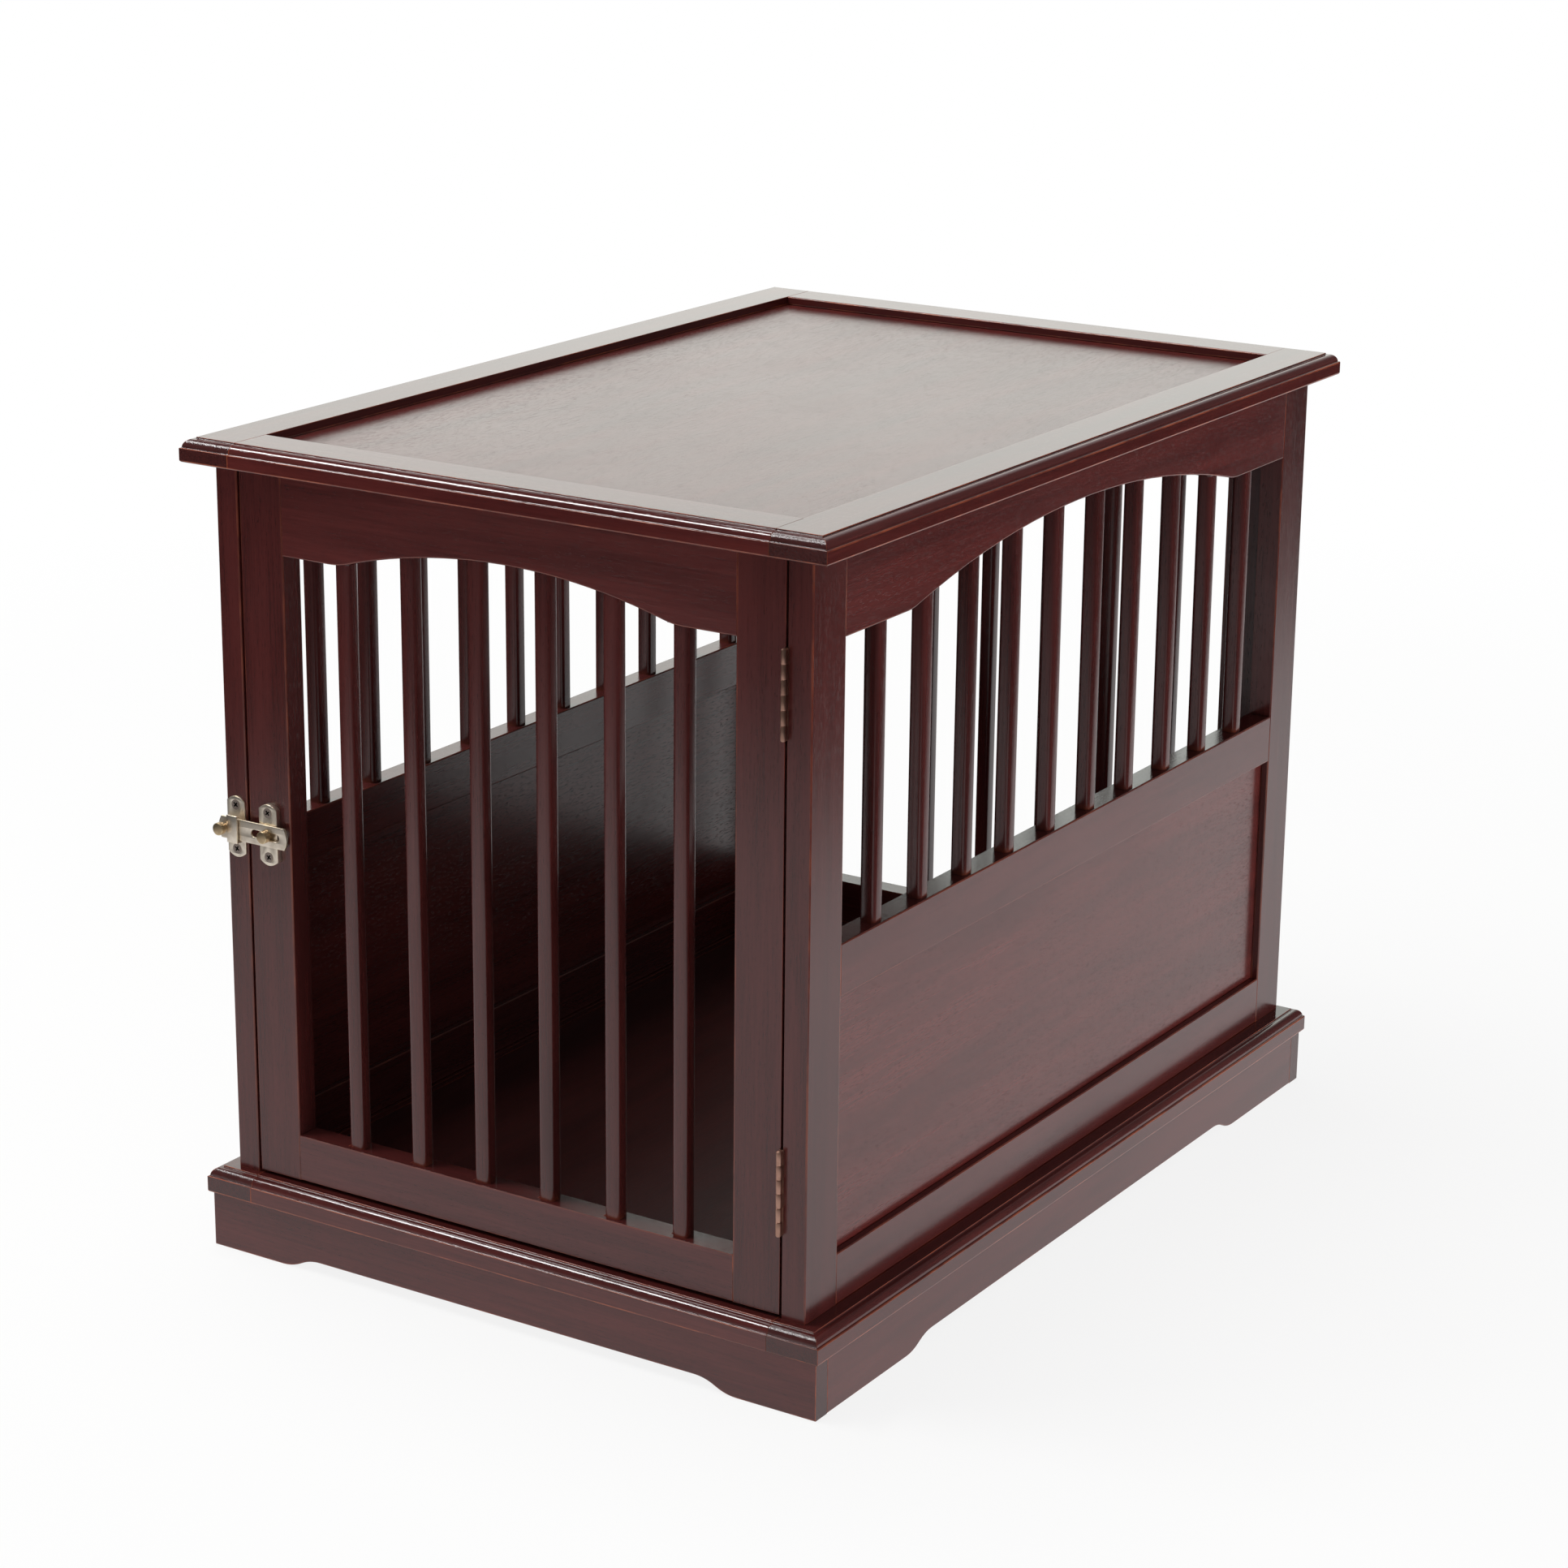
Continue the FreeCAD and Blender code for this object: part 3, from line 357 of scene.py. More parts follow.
def lacquered(name, dark, light, pores, gloss_low, gloss_high, ripple, rub_amount):
    """Stained and lacquered wood that reads grain, rub, end and tone from the mesh."""
    material = bpy.data.materials.new(name)
    material.use_nodes = True
    tree = material.node_tree
    shader = tree.nodes["Principled BSDF"]
    along = attribute(tree, "grain", "Vector")
    place = put(tree, "ShaderNodeTexCoord").outputs["Object"]
    wood = group_node(tree, grain_group, {"Along": along, "Dark": dark, "Light": light, "Pores": pores})
    toned = put(tree, "ShaderNodeHueSaturation",
                {"Color": wood["Colour"], "Value": attribute(tree, "tone")}).outputs[0]
    end = attribute(tree, "end")
    end_share = math_node(tree, "MULTIPLY", end, 0.5)
    ended = mix_colours(tree, end_share, toned, (0.02, 0.009, 0.009, 1))
    rub = group_node(tree, wear_and_highlight_group, {"Edge": attribute(tree, "rub"), "Place": place,
                                       "Amount": rub_amount, "Size": 38.0})["Mask"]
    rubbed = mix_colours(tree, rub, ended, (0.34, 0.075, 0.026, 1))
    dust = group_node(tree, dust_group, {"Place": place})["Mask"]
    dusted = mix_colours(tree, math_node(tree, "MULTIPLY", dust, 0.5), rubbed, (0.45, 0.4, 0.37, 1))
    tree.links.new(dusted, shader.inputs["Base Color"])

    uneven = stretched_noise(tree, place, (9.0, 9.0, 9.0), 3.0)
    gloss = put(tree, "ShaderNodeMapRange", {"Value": uneven, "From Min": 0.3, "From Max": 0.7,
                                             "To Min": gloss_low, "To Max": gloss_high}).outputs["Result"]
    dulled = math_node(tree, "ADD", gloss, math_node(tree, "MULTIPLY", rub, 0.15))
    tree.links.new(math_node(tree, "ADD", dulled, math_node(tree, "MULTIPLY", end_share, 0.12)),
                   shader.inputs["Roughness"])
    peel = stretched_noise(tree, place, (260.0, 260.0, 260.0), 2.0)
    crumbly = stretched_noise(tree, place, (1100.0, 1100.0, 1100.0), 2.0)
    smooth = math_node(tree, "ADD", math_node(tree, "MULTIPLY", peel, 0.35), wood["Height"])
    height = math_node(tree, "ADD", smooth, math_node(tree, "MULTIPLY", crumbly, math_node(tree, "MULTIPLY", end, 2.5)))
    bump = put(tree, "ShaderNodeBump", {"Height": height, "Strength": ripple, "Distance": 0.00012})
    tree.links.new(bump.outputs[0], shader.inputs["Normal"])
    shader.inputs["IOR"].default_value = 1.6
    return material


board_wood = lacquered("lacquered_mahogany", (0.053, 0.0105, 0.01, 1), (0.092, 0.018, 0.0165, 1),
                       0.25, 0.15, 0.22, 0.55, 0.85)
moulding_wood = lacquered("glossy_mahogany", (0.052, 0.0095, 0.009, 1), (0.09, 0.017, 0.015, 1),
                          0.2, 0.06, 0.11, 0.45, 0.85)
panel_wood = lacquered("lacquered_veneer", (0.062, 0.011, 0.01, 1), (0.105, 0.0185, 0.0165, 1),
                       0.5, 0.2, 0.235, 0.6, 0.6)
# The floor panel is rougher and less shiny, and its stain is painted darker than the other panels' as painted shade for
# the inside of the crate.
shaded_floor_wood = lacquered("satin_floor_veneer", (0.045, 0.009, 0.0085, 1), (0.075, 0.015, 0.0135, 1),
                       0.5, 0.36, 0.42, 0.6, 0.4)
shaded_floor_wood.node_tree.nodes["Principled BSDF"].inputs["IOR"].default_value = 1.4
print("wood materials:", board_wood.name, moulding_wood.name, panel_wood.name, shaded_floor_wood.name)

# %% [markdown]
# Every board was sanded before it was stained, so no edge is quite sharp, and
# each long edge catches a thin line of light. The boards' shapes are right in
# the frame already. Each is copied, its loose triangles are merged, and a bevel
# rounds its outer edges: wide along the board, narrow at its ends, where two
# boards meet in a fine V. The bevel marks its own faces, and they become the
# mask for rubbed-through stain. The copy also stores the coordinate that the
# grain follows.

# %% Boards
WOOD_NODES = sorted(n for n in frame["nodes"]
                    if n.startswith(("side_", "rear_", "door_", "top_", "base_rail", "skirt_", "floor_"))
                    and not n.endswith("spindles"))
LONG_ARRIS = 0.9 * MM
END_ARRIS = 0.32 * MM
SHARP = math.radians(28)


def grain_direction(node):
    """Index of the axis along a board. Panels have their grain along the table."""
    low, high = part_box(node)
    if node.endswith("_panel"):
        return 1
    size = high - low
    return max(range(3), key=lambda i: size[i])


def merged_copy(node, name):
    """A CAD node's mesh as one closed surface of flat faces."""
    shape = bmesh.new()
    shape.from_mesh(frame["nodes"][node].data)
    bmesh.ops.remove_doubles(shape, verts=shape.verts, dist=2e-6)
    bmesh.ops.dissolve_limit(shape, angle_limit=math.radians(0.6), verts=shape.verts, edges=shape.edges)
    mesh = bpy.data.meshes.new(name)
    shape.to_mesh(mesh)
    shape.free()
    for extra in ("custom_normal", "sharp_edge"):
        if extra in mesh.attributes:
            mesh.attributes.remove(mesh.attributes[extra])
    piece = bpy.data.objects.new(name, mesh)
    bpy.context.scene.collection.objects.link(piece)
    return piece


def weigh_edges(mesh, width_of, widest):
    """Give each outer edge the share of the bevel that its neighbours leave room for."""
    shape = bmesh.new()
    shape.from_mesh(mesh)
    weight = shape.edges.layers.float.get("bevel_weight_edge") or shape.edges.layers.float.new("bevel_weight_edge")
    for edge in shape.edges:
        if len(edge.link_faces) != 2 or edge.calc_face_angle(0.0) < SHARP or not edge.is_convex:
            continue
        room = edge.calc_length()
        for corner in edge.verts:
            for other in corner.link_edges:
                if other is not edge:
                    room = min(room, other.calc_length())
        edge[weight] = min(width_of(edge), 0.42 * room) / widest
    shape.to_mesh(mesh)
    shape.free()


def baked(piece):
    """The piece with its modifiers worked out and taken off."""
    graph = bpy.context.evaluated_depsgraph_get()
    done = bpy.data.meshes.new_from_object(piece.evaluated_get(graph))
    piece.modifiers.clear()
    old = piece.data
    piece.data = done
    name = old.name
    bpy.data.meshes.remove(old)
    done.name = name
    return piece


def round_edges(piece, width_of, widest, segments=3):
    """Bevel the weighed edges. Bevel faces go to the second material slot."""
    weigh_edges(piece.data, width_of, widest)
    piece.data.materials.append(board_wood)
    piece.data.materials.append(board_wood)
    bevel = piece.modifiers.new("soft_edges", "BEVEL")
    bevel.limit_method = "WEIGHT"
    bevel.width = widest
    bevel.segments = segments
    bevel.use_clamp_overlap = False
    bevel.harden_normals = True
    bevel.material = 1
    for face in piece.data.polygons:
        face.use_smooth = True
        face.material_index = 0
    return baked(piece)


def store(mesh, name, kind, domain, values, field):
    """Write one attribute onto a mesh."""
    layer = mesh.attributes.new(name, kind, domain)
    layer.data.foreach_set(field, values)


def store_wood(mesh, axis, seed, long_rub, tone):
    """Grain coordinate, rubbed edges, end grain and a tone for this board."""
    dice = random.Random(seed)
    shift = [dice.uniform(-3, 3) for _ in range(3)]
    order = [axis, (axis + 1) % 3, (axis + 2) % 3]
    grain = [vertex.co[order[i]] + shift[i] for vertex in mesh.vertices for i in range(3)]
    store(mesh, "grain", "FLOAT_VECTOR", "POINT", grain, "vector")
    rub = [0.0] * len(mesh.loops)
    end = [0.0] * len(mesh.loops)
    for face in mesh.polygons:
        edge_share = long_rub if abs(face.normal[axis]) < 0.3 else 1.0
        edge_share *= face.material_index
        end_share = min(1.0, max(0.0, 3.0 * abs(face.normal[axis]) - 0.6))
        for loop in face.loop_indices:
            rub[loop] = edge_share
            end[loop] = end_share
        face.material_index = 0
    store(mesh, "rub", "FLOAT", "CORNER", rub, "value")
    store(mesh, "end", "FLOAT", "CORNER", end, "value")
    store(mesh, "tone", "FLOAT", "POINT", [tone * dice.uniform(0.94, 1.06)] * len(mesh.vertices), "value")


def finish_piece(piece, material, body, nodes):
    """One material, then hand the piece to the body it rides on."""
    piece.data.materials.clear()
    piece.data.materials.append(material)
    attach(piece, body)
    if nodes:
        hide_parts(*nodes)
    return piece


def make_board(node):
    """One softened board in place of its CAD node."""
    axis = grain_direction(node)

    def width_of(edge):
        run = (edge.verts[1].co - edge.verts[0].co).normalized()
        return LONG_ARRIS if abs(run[axis]) > 0.75 else END_ARRIS

    piece = round_edges(merged_copy(node, node + "_board"), width_of, LONG_ARRIS)
    long_rub = 0.75 if node.startswith(("skirt", "top", "base")) else 0.3
    store_wood(piece.data, axis, zlib.crc32(node.encode()), long_rub, 0.78 if "stile" in node else 1.0)
    panel = node.endswith("_panel")
    moulded = node.startswith(("top_rail", "base_rail"))
    finish = panel_wood if panel else moulding_wood if moulded else board_wood
    # The floor panel inside takes the darker veneer: painted shade.
    if node == "floor_panel":
        finish = shaded_floor_wood
    return finish_piece(piece, finish, frame["nodes"][node]["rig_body"],
                        [node])


boards = [make_board(node) for node in WOOD_NODES]
print(len(boards), "boards,", sum(len(b.data.polygons) for b in boards), "faces")

# %% [markdown]
# A spindle is a square stick with well-rounded edges and a wider flat tenon at
# each end. It stands on a rail and runs up into the arched rail, so each one is
# as long as the arch is high above it. Thirty-two of them in four rows follow
# that one rule, which makes them work for Geometry Nodes: a line of points, one
# stick on each point, stretched by the arch's own formula, and leaning by a hair
# as real ones do. In the end rows the sticks stand to one side of their tenons.


# %% Spindle rows
def make_spindle_tree():
    """Rounded sticks along a line, as tall as an arch above them."""
    tree, inside, result = new_group(
        "spindle_row", "GeometryNodeTree",
        [("Geometry", "NodeSocketGeometry", None), ("Count", "NodeSocketInt", 6),
         ("First", "NodeSocketVector", None), ("Step", "NodeSocketVector", None),
         ("Middle", "NodeSocketVector", None), ("Size X", "NodeSocketFloat", 0.013),
         ("Size Y", "NodeSocketFloat", 0.01), ("Round", "NodeSocketFloat", 0.003),
         ("Tenon X", "NodeSocketFloat", 0.013), ("Tenon Y", "NodeSocketFloat", 0.01),
         ("Tenon depth", "NodeSocketFloat", 0.008), ("Shift", "NodeSocketVector", None),
         ("Flat height", "NodeSocketFloat", 0.38), ("Arch rise", "NodeSocketFloat", 0.016),
         ("Arch radius", "NodeSocketFloat", 0.38), ("Lean", "NodeSocketFloat", 0.0015),
         ("Seed", "NodeSocketInt", 1), ("Material", "NodeSocketMaterial", None)],
        [("Geometry", "NodeSocketGeometry")])
    line = put(tree, "GeometryNodeMeshLine", {"Count": inside["Count"], "Start Location": inside["First"],
                                              "Offset": inside["Step"]})
    outline = put(tree, "GeometryNodeCurvePrimitiveQuadrilateral",
                  {"Width": inside["Size X"], "Height": inside["Size Y"]})
    softened = put(tree, "GeometryNodeFilletCurve",
                   {"Curve": outline.outputs[0], "Radius": inside["Round"], "Count": 5}, mode="POLY")
    upright = put(tree, "GeometryNodeCurvePrimitiveLine", {"Start": (0, 0, 0), "End": (0, 0, 1)})
    upright = put(tree, "GeometryNodeResampleCurve", {"Curve": upright.outputs[0], "Count": 16})
    spot = put(tree, "GeometryNodeInputPosition").outputs[0]
    share = put(tree, "ShaderNodeSeparateXYZ", {"Vector": spot}).outputs["Z"]
    foot_dense = put(tree, "ShaderNodeCombineXYZ", {"Z": math_node(tree, "POWER", share, 3.0)})
    upright = put(tree, "GeometryNodeSetPosition", {"Geometry": upright.outputs[0], "Position": foot_dense.outputs[0]})
    stick = put(tree, "GeometryNodeCurveToMesh",
                {"Curve": upright.outputs[0], "Profile Curve": softened.outputs[0], "Fill Caps": True})
    stick = put(tree, "GeometryNodeTransform", {"Geometry": stick.outputs[0], "Translation": inside["Shift"]})

    away = put(tree, "ShaderNodeVectorMath", {0: spot, 1: inside["Middle"]}, operation="DISTANCE").outputs["Value"]
    radius = inside["Arch radius"]
    under = math_node(tree, "SUBTRACT", math_node(tree, "POWER", radius, 2.0), math_node(tree, "POWER", away, 2.0))
    crown = math_node(tree, "SUBTRACT", math_node(tree, "SQRT", under), radius)
    rise = math_node(tree, "MAXIMUM", math_node(tree, "ADD", crown, inside["Arch rise"]), 0.0)
    tall = math_node(tree, "ADD", inside["Flat height"], rise)
    size = put(tree, "ShaderNodeCombineXYZ", {"X": 1.0, "Y": 1.0, "Z": tall})
    low = put(tree, "ShaderNodeVectorMath", {0: (-1, -1, -1), "Scale": inside["Lean"]}, operation="SCALE")
    high = put(tree, "ShaderNodeVectorMath", {0: (1, 1, 1), "Scale": inside["Lean"]}, operation="SCALE")
    lean_dice = put(tree, "FunctionNodeRandomValue",
                    {0: low.outputs[0], 1: high.outputs[0], "Seed": inside["Seed"]}, data_type="FLOAT_VECTOR")
    row = put(tree, "GeometryNodeInstanceOnPoints",
              {"Points": line.outputs[0], "Instance": stick.outputs[0], "Scale": size.outputs[0],
               "Rotation": lean_dice.outputs[0]})
    depth = inside["Tenon depth"]
    tenon_size = put(tree, "ShaderNodeCombineXYZ", {"X": inside["Tenon X"], "Y": inside["Tenon Y"], "Z": depth})
    tenon = put(tree, "GeometryNodeMeshCube", {"Size": tenon_size.outputs[0]})
    half = math_node(tree, "MULTIPLY", depth, -0.5)
    below = put(tree, "ShaderNodeCombineXYZ", {"Z": math_node(tree, "SUBTRACT", half, 0.00005)})
    above = put(tree, "ShaderNodeCombineXYZ", {"Z": math_node(tree, "ADD", math_node(tree, "ADD", tall, half), 0.0004)})
    all_ends = put(tree, "GeometryNodeJoinGeometry")
    for ends in (above, below):
        moved = put(tree, "GeometryNodeSetPosition", {"Geometry": line.outputs[0], "Offset": ends.outputs[0]})
        tree.links.new(moved.outputs[0], all_ends.inputs[0])
    tenons = put(tree, "GeometryNodeInstanceOnPoints", {"Points": all_ends.outputs[0], "Instance": tenon.outputs[0]})
    whole = put(tree, "GeometryNodeJoinGeometry")
    tree.links.new(tenons.outputs[0], whole.inputs[0])
    tree.links.new(row.outputs[0], whole.inputs[0])
    shift_dice = put(tree, "FunctionNodeRandomValue",
                     {0: (-3, -3, -3), 1: (3, 3, 3), "Seed": inside["Seed"]}, data_type="FLOAT_VECTOR")
    seeded = put(tree, "GeometryNodeStoreNamedAttribute",
                 {"Geometry": whole.outputs[0], "Name": "shift", "Value": shift_dice.outputs[0]},
                 data_type="FLOAT_VECTOR", domain="INSTANCE")
    real = put(tree, "GeometryNodeRealizeInstances", {"Geometry": seeded.outputs[0]})
    smooth = put(tree, "GeometryNodeSetShadeSmooth", {"Geometry": real.outputs[0]})
    painted = put(tree, "GeometryNodeSetMaterial", {"Geometry": smooth.outputs[0], "Material": inside["Material"]})
    tree.links.new(painted.outputs[0], result["Geometry"])
    return tree


spindle_tree = make_spindle_tree()


def grow(name, tree, values, base=None):
    """Run a geometry tree on an object and keep its result as a plain mesh."""
    piece = bpy.data.objects.new(name, base or bpy.data.meshes.new(name))
    bpy.context.scene.collection.objects.link(piece)
    modifier = piece.modifiers.new(tree.name, "NODES")
    modifier.node_group = tree
    names = {item.name: item.identifier for item in tree.interface.items_tree
             if item.item_type == "SOCKET" and item.in_out == "INPUT"}
    for label, value in values.items():
        modifier[names[label]] = value
    return baked(piece)


# Each row has a count, the radius and the rise of its arch, and the sticks' shift.
TENON_W, TENON_D, TENON = 13 * MM, 10 * MM, 8 * MM
STICK, STICK_ROUND = 9.7 * MM, 2.5 * MM
SOCKET = 8 * MM
ROWS = {"door_spindles": (6, 380 * MM, 16.5 * MM, 1.2 * MM), "rear_spindles": (6, 380 * MM, 16.5 * MM, -1.2 * MM),
        "side_left_spindles": (10, 760 * MM, 24.5 * MM, 0.0), "side_right_spindles": (10, 760 * MM, 24.5 * MM, 0.0)}
ARCH_FLAT = 426 * MM


def store_spindle_wood(mesh, seat):
    """Grain up each stick, and stain rubbed away round its foot."""
    shifts = [0.0] * (3 * len(mesh.vertices))
    mesh.attributes["shift"].data.foreach_get("vector", shifts)
    grain = []
    for vertex in mesh.vertices:
        i = 3 * vertex.index
        x, y, z = vertex.co
        grain += [z + shifts[i], x + shifts[i + 1], y + shifts[i + 2]]
    mesh.attributes.remove(mesh.attributes["shift"])
    store(mesh, "grain", "FLOAT_VECTOR", "POINT", grain, "vector")
    foot = [0.3 * min(1.0, max(0.0, 1.0 - (v.co.z - seat) / (4 * MM))) for v in mesh.vertices]
    rub = [foot[loop.vertex_index] for loop in mesh.loops]
    store(mesh, "rub", "FLOAT", "CORNER", rub, "value")
    store(mesh, "end", "FLOAT", "CORNER", [0.0] * len(mesh.loops), "value")
    tone = [0.72 + 0.03 * shifts[3 * v.index] for v in mesh.vertices]
    store(mesh, "tone", "FLOAT", "POINT", tone, "value")


def make_spindles(node):
    """One row in place of its CAD node, found from the node's own box."""
    count, radius, rise, shift = ROWS[node]
    low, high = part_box(node)
    along = 0 if high.x - low.x > high.y - low.y else 1
    middle = (low + high) / 2
    seat = low.z + TENON
    first, last = middle.copy(), middle.copy()
    first[along], last[along] = low[along] + TENON_W / 2, high[along] - TENON_W / 2
    first.z = last.z = middle.z = seat
    values = {
        "Count": count, "First": first, "Step": (last - first) / (count - 1), "Middle": middle,
        "Size X": STICK, "Size Y": STICK, "Round": STICK_ROUND, "Shift": Vector((shift, 0, 0)),
        "Tenon X": TENON_W if along == 0 else TENON_D, "Tenon Y": TENON_D if along == 0 else TENON_W,
        "Tenon depth": TENON, "Flat height": ARCH_FLAT + SOCKET - seat, "Arch rise": rise,
        "Arch radius": radius, "Lean": 0.0012, "Seed": zlib.crc32(node.encode()) % 1000,
        "Material": board_wood}
    piece = grow(node + "_row", spindle_tree, values)
    store_spindle_wood(piece.data, seat)
    size = [round((c - 0) * 1000, 1) for c in piece.dimensions]
    print(node, "row", size, "mm, CAD", [round(c * 1000, 1) for c in high - low])
    return finish_piece(piece, board_wood, frame["nodes"][node]["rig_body"], [node])


spindle_rows = [make_spindles(node) for node in ROWS]

# %% [markdown]
# The metal is plated steel. Antique brass is a pale, brushed gold with cloudy
# tarnish, and its eased edges are painted lighter: worn polish with a painted
# highlight. Faces down in a screw's cross get painted shade. The hinges are the
# same process in copper. One group brushes the metal, and the patch group from
# the wood is used again, this time to paint the lighter edges.


# %% Metals
def make_brushed_group():
    """Fine lines along one axis with cloudy tarnish over them."""
    tree, inside, result = new_group(
        "brushed_metal", "ShaderNodeTree",
        [("Place", "NodeSocketVector", None), ("Lines", "NodeSocketVector", (600.0, 600.0, 6000.0))],
        [("Lines", "NodeSocketFloat"), ("Tarnish", "NodeSocketFloat")])
    spread = put(tree, "ShaderNodeVectorMath", {0: inside["Place"], 1: inside["Lines"]}, operation="MULTIPLY")
    lines = put(tree, "ShaderNodeTexNoise", {"Vector": spread.outputs[0], "Scale": 1.0, "Detail": 2.0})
    tree.links.new(lines.outputs["Fac"], result["Lines"])
    cloud = stretched_noise(tree, inside["Place"], (140.0, 140.0, 140.0), 4.0, 0.6)
    tree.links.new(ramp_between(tree, cloud, 0.38, 0.68), result["Tarnish"])
    return tree


brushed_group = make_brushed_group()


def plated(name, colour, dark, bright, rough, lines):
    """Plated metal with tarnish and brushing, lighter edges that are polish with a painted highlight, and painted shade
    down in screw slots.
    """
    material = bpy.data.materials.new(name)
    material.use_nodes = True
    tree = material.node_tree
    shader = tree.nodes["Principled BSDF"]
    place = put(tree, "ShaderNodeTexCoord").outputs["Object"]
    brushed = group_node(tree, brushed_group, {"Place": place, "Lines": lines})
    dulled = mix_colours(tree, math_node(tree, "MULTIPLY", brushed["Tarnish"], 0.35), colour, dark)
    # Eased rims and small faces are painted lighter: worn polish, and a painted highlight where rims catch the light.
    edge = group_node(tree, wear_and_highlight_group, {"Edge": attribute(tree, "rub"), "Place": place,
                                        "Amount": 0.8, "Size": 300.0})["Mask"]
    polish_and_highlight = mix_colours(tree, edge, dulled, bright)
    # Faces down in a screw's cross are painted near-black: painted shade in the slot.
    slot_shaded = mix_colours(tree, attribute(tree, "hollow"), polish_and_highlight, (0.012, 0.009, 0.008, 1))
    tree.links.new(slot_shaded, shader.inputs["Base Color"])
    spread = put(tree, "ShaderNodeMapRange", {"Value": brushed["Lines"], "To Min": rough - 0.08,
                                              "To Max": rough + 0.1}).outputs["Result"]
    tree.links.new(math_node(tree, "ADD", spread, math_node(tree, "MULTIPLY", brushed["Tarnish"], 0.1)),
                   shader.inputs["Roughness"])
    bump = put(tree, "ShaderNodeBump", {"Height": brushed["Lines"], "Strength": 0.35, "Distance": 0.00003})
    tree.links.new(bump.outputs[0], shader.inputs["Normal"])
    shader.inputs["Metallic"].default_value = 1.0
    return material


brass = plated("antique_brass", (1.0, 0.89, 0.76, 1), (0.6, 0.5, 0.38, 1), (1.0, 0.88, 0.58, 1),
               0.34, (300.0, 6000.0, 6000.0))
brass_knob = plated("rubbed_brass", (0.66, 0.5, 0.32, 1), (0.34, 0.24, 0.14, 1), (0.9, 0.74, 0.46, 1),
                    0.3, (2500.0, 300.0, 2500.0))
copper = plated("antique_copper", (0.52, 0.3, 0.23, 1), (0.24, 0.12, 0.085, 1), (0.68, 0.42, 0.32, 1),
                0.36, (4000.0, 4000.0, 400.0))
dark_screw = plated("antique_screw_plate", (0.42, 0.34, 0.3, 1), (0.17, 0.135, 0.12, 1),
                    (0.75, 0.64, 0.5, 1), 0.3, (1500.0, 1500.0, 1500.0))
zinc_screw = plated("zinc_screw_plate", (0.6, 0.6, 0.6, 1), (0.4, 0.4, 0.42, 1), (0.75, 0.75, 0.75, 1),
                    0.3, (1500.0, 1500.0, 1500.0))
print("metals ready")

# %% [markdown]
# Cross-head screws hold the hinges, the latch and the base. They are all one
# shape in different sizes: a sunk cone, a plain shank, and a cross cut into the
# head. Geometry Nodes make one screw from those sizes and set a copy on each
# place where the frame has a screw, each turned as the driver happened to stop.


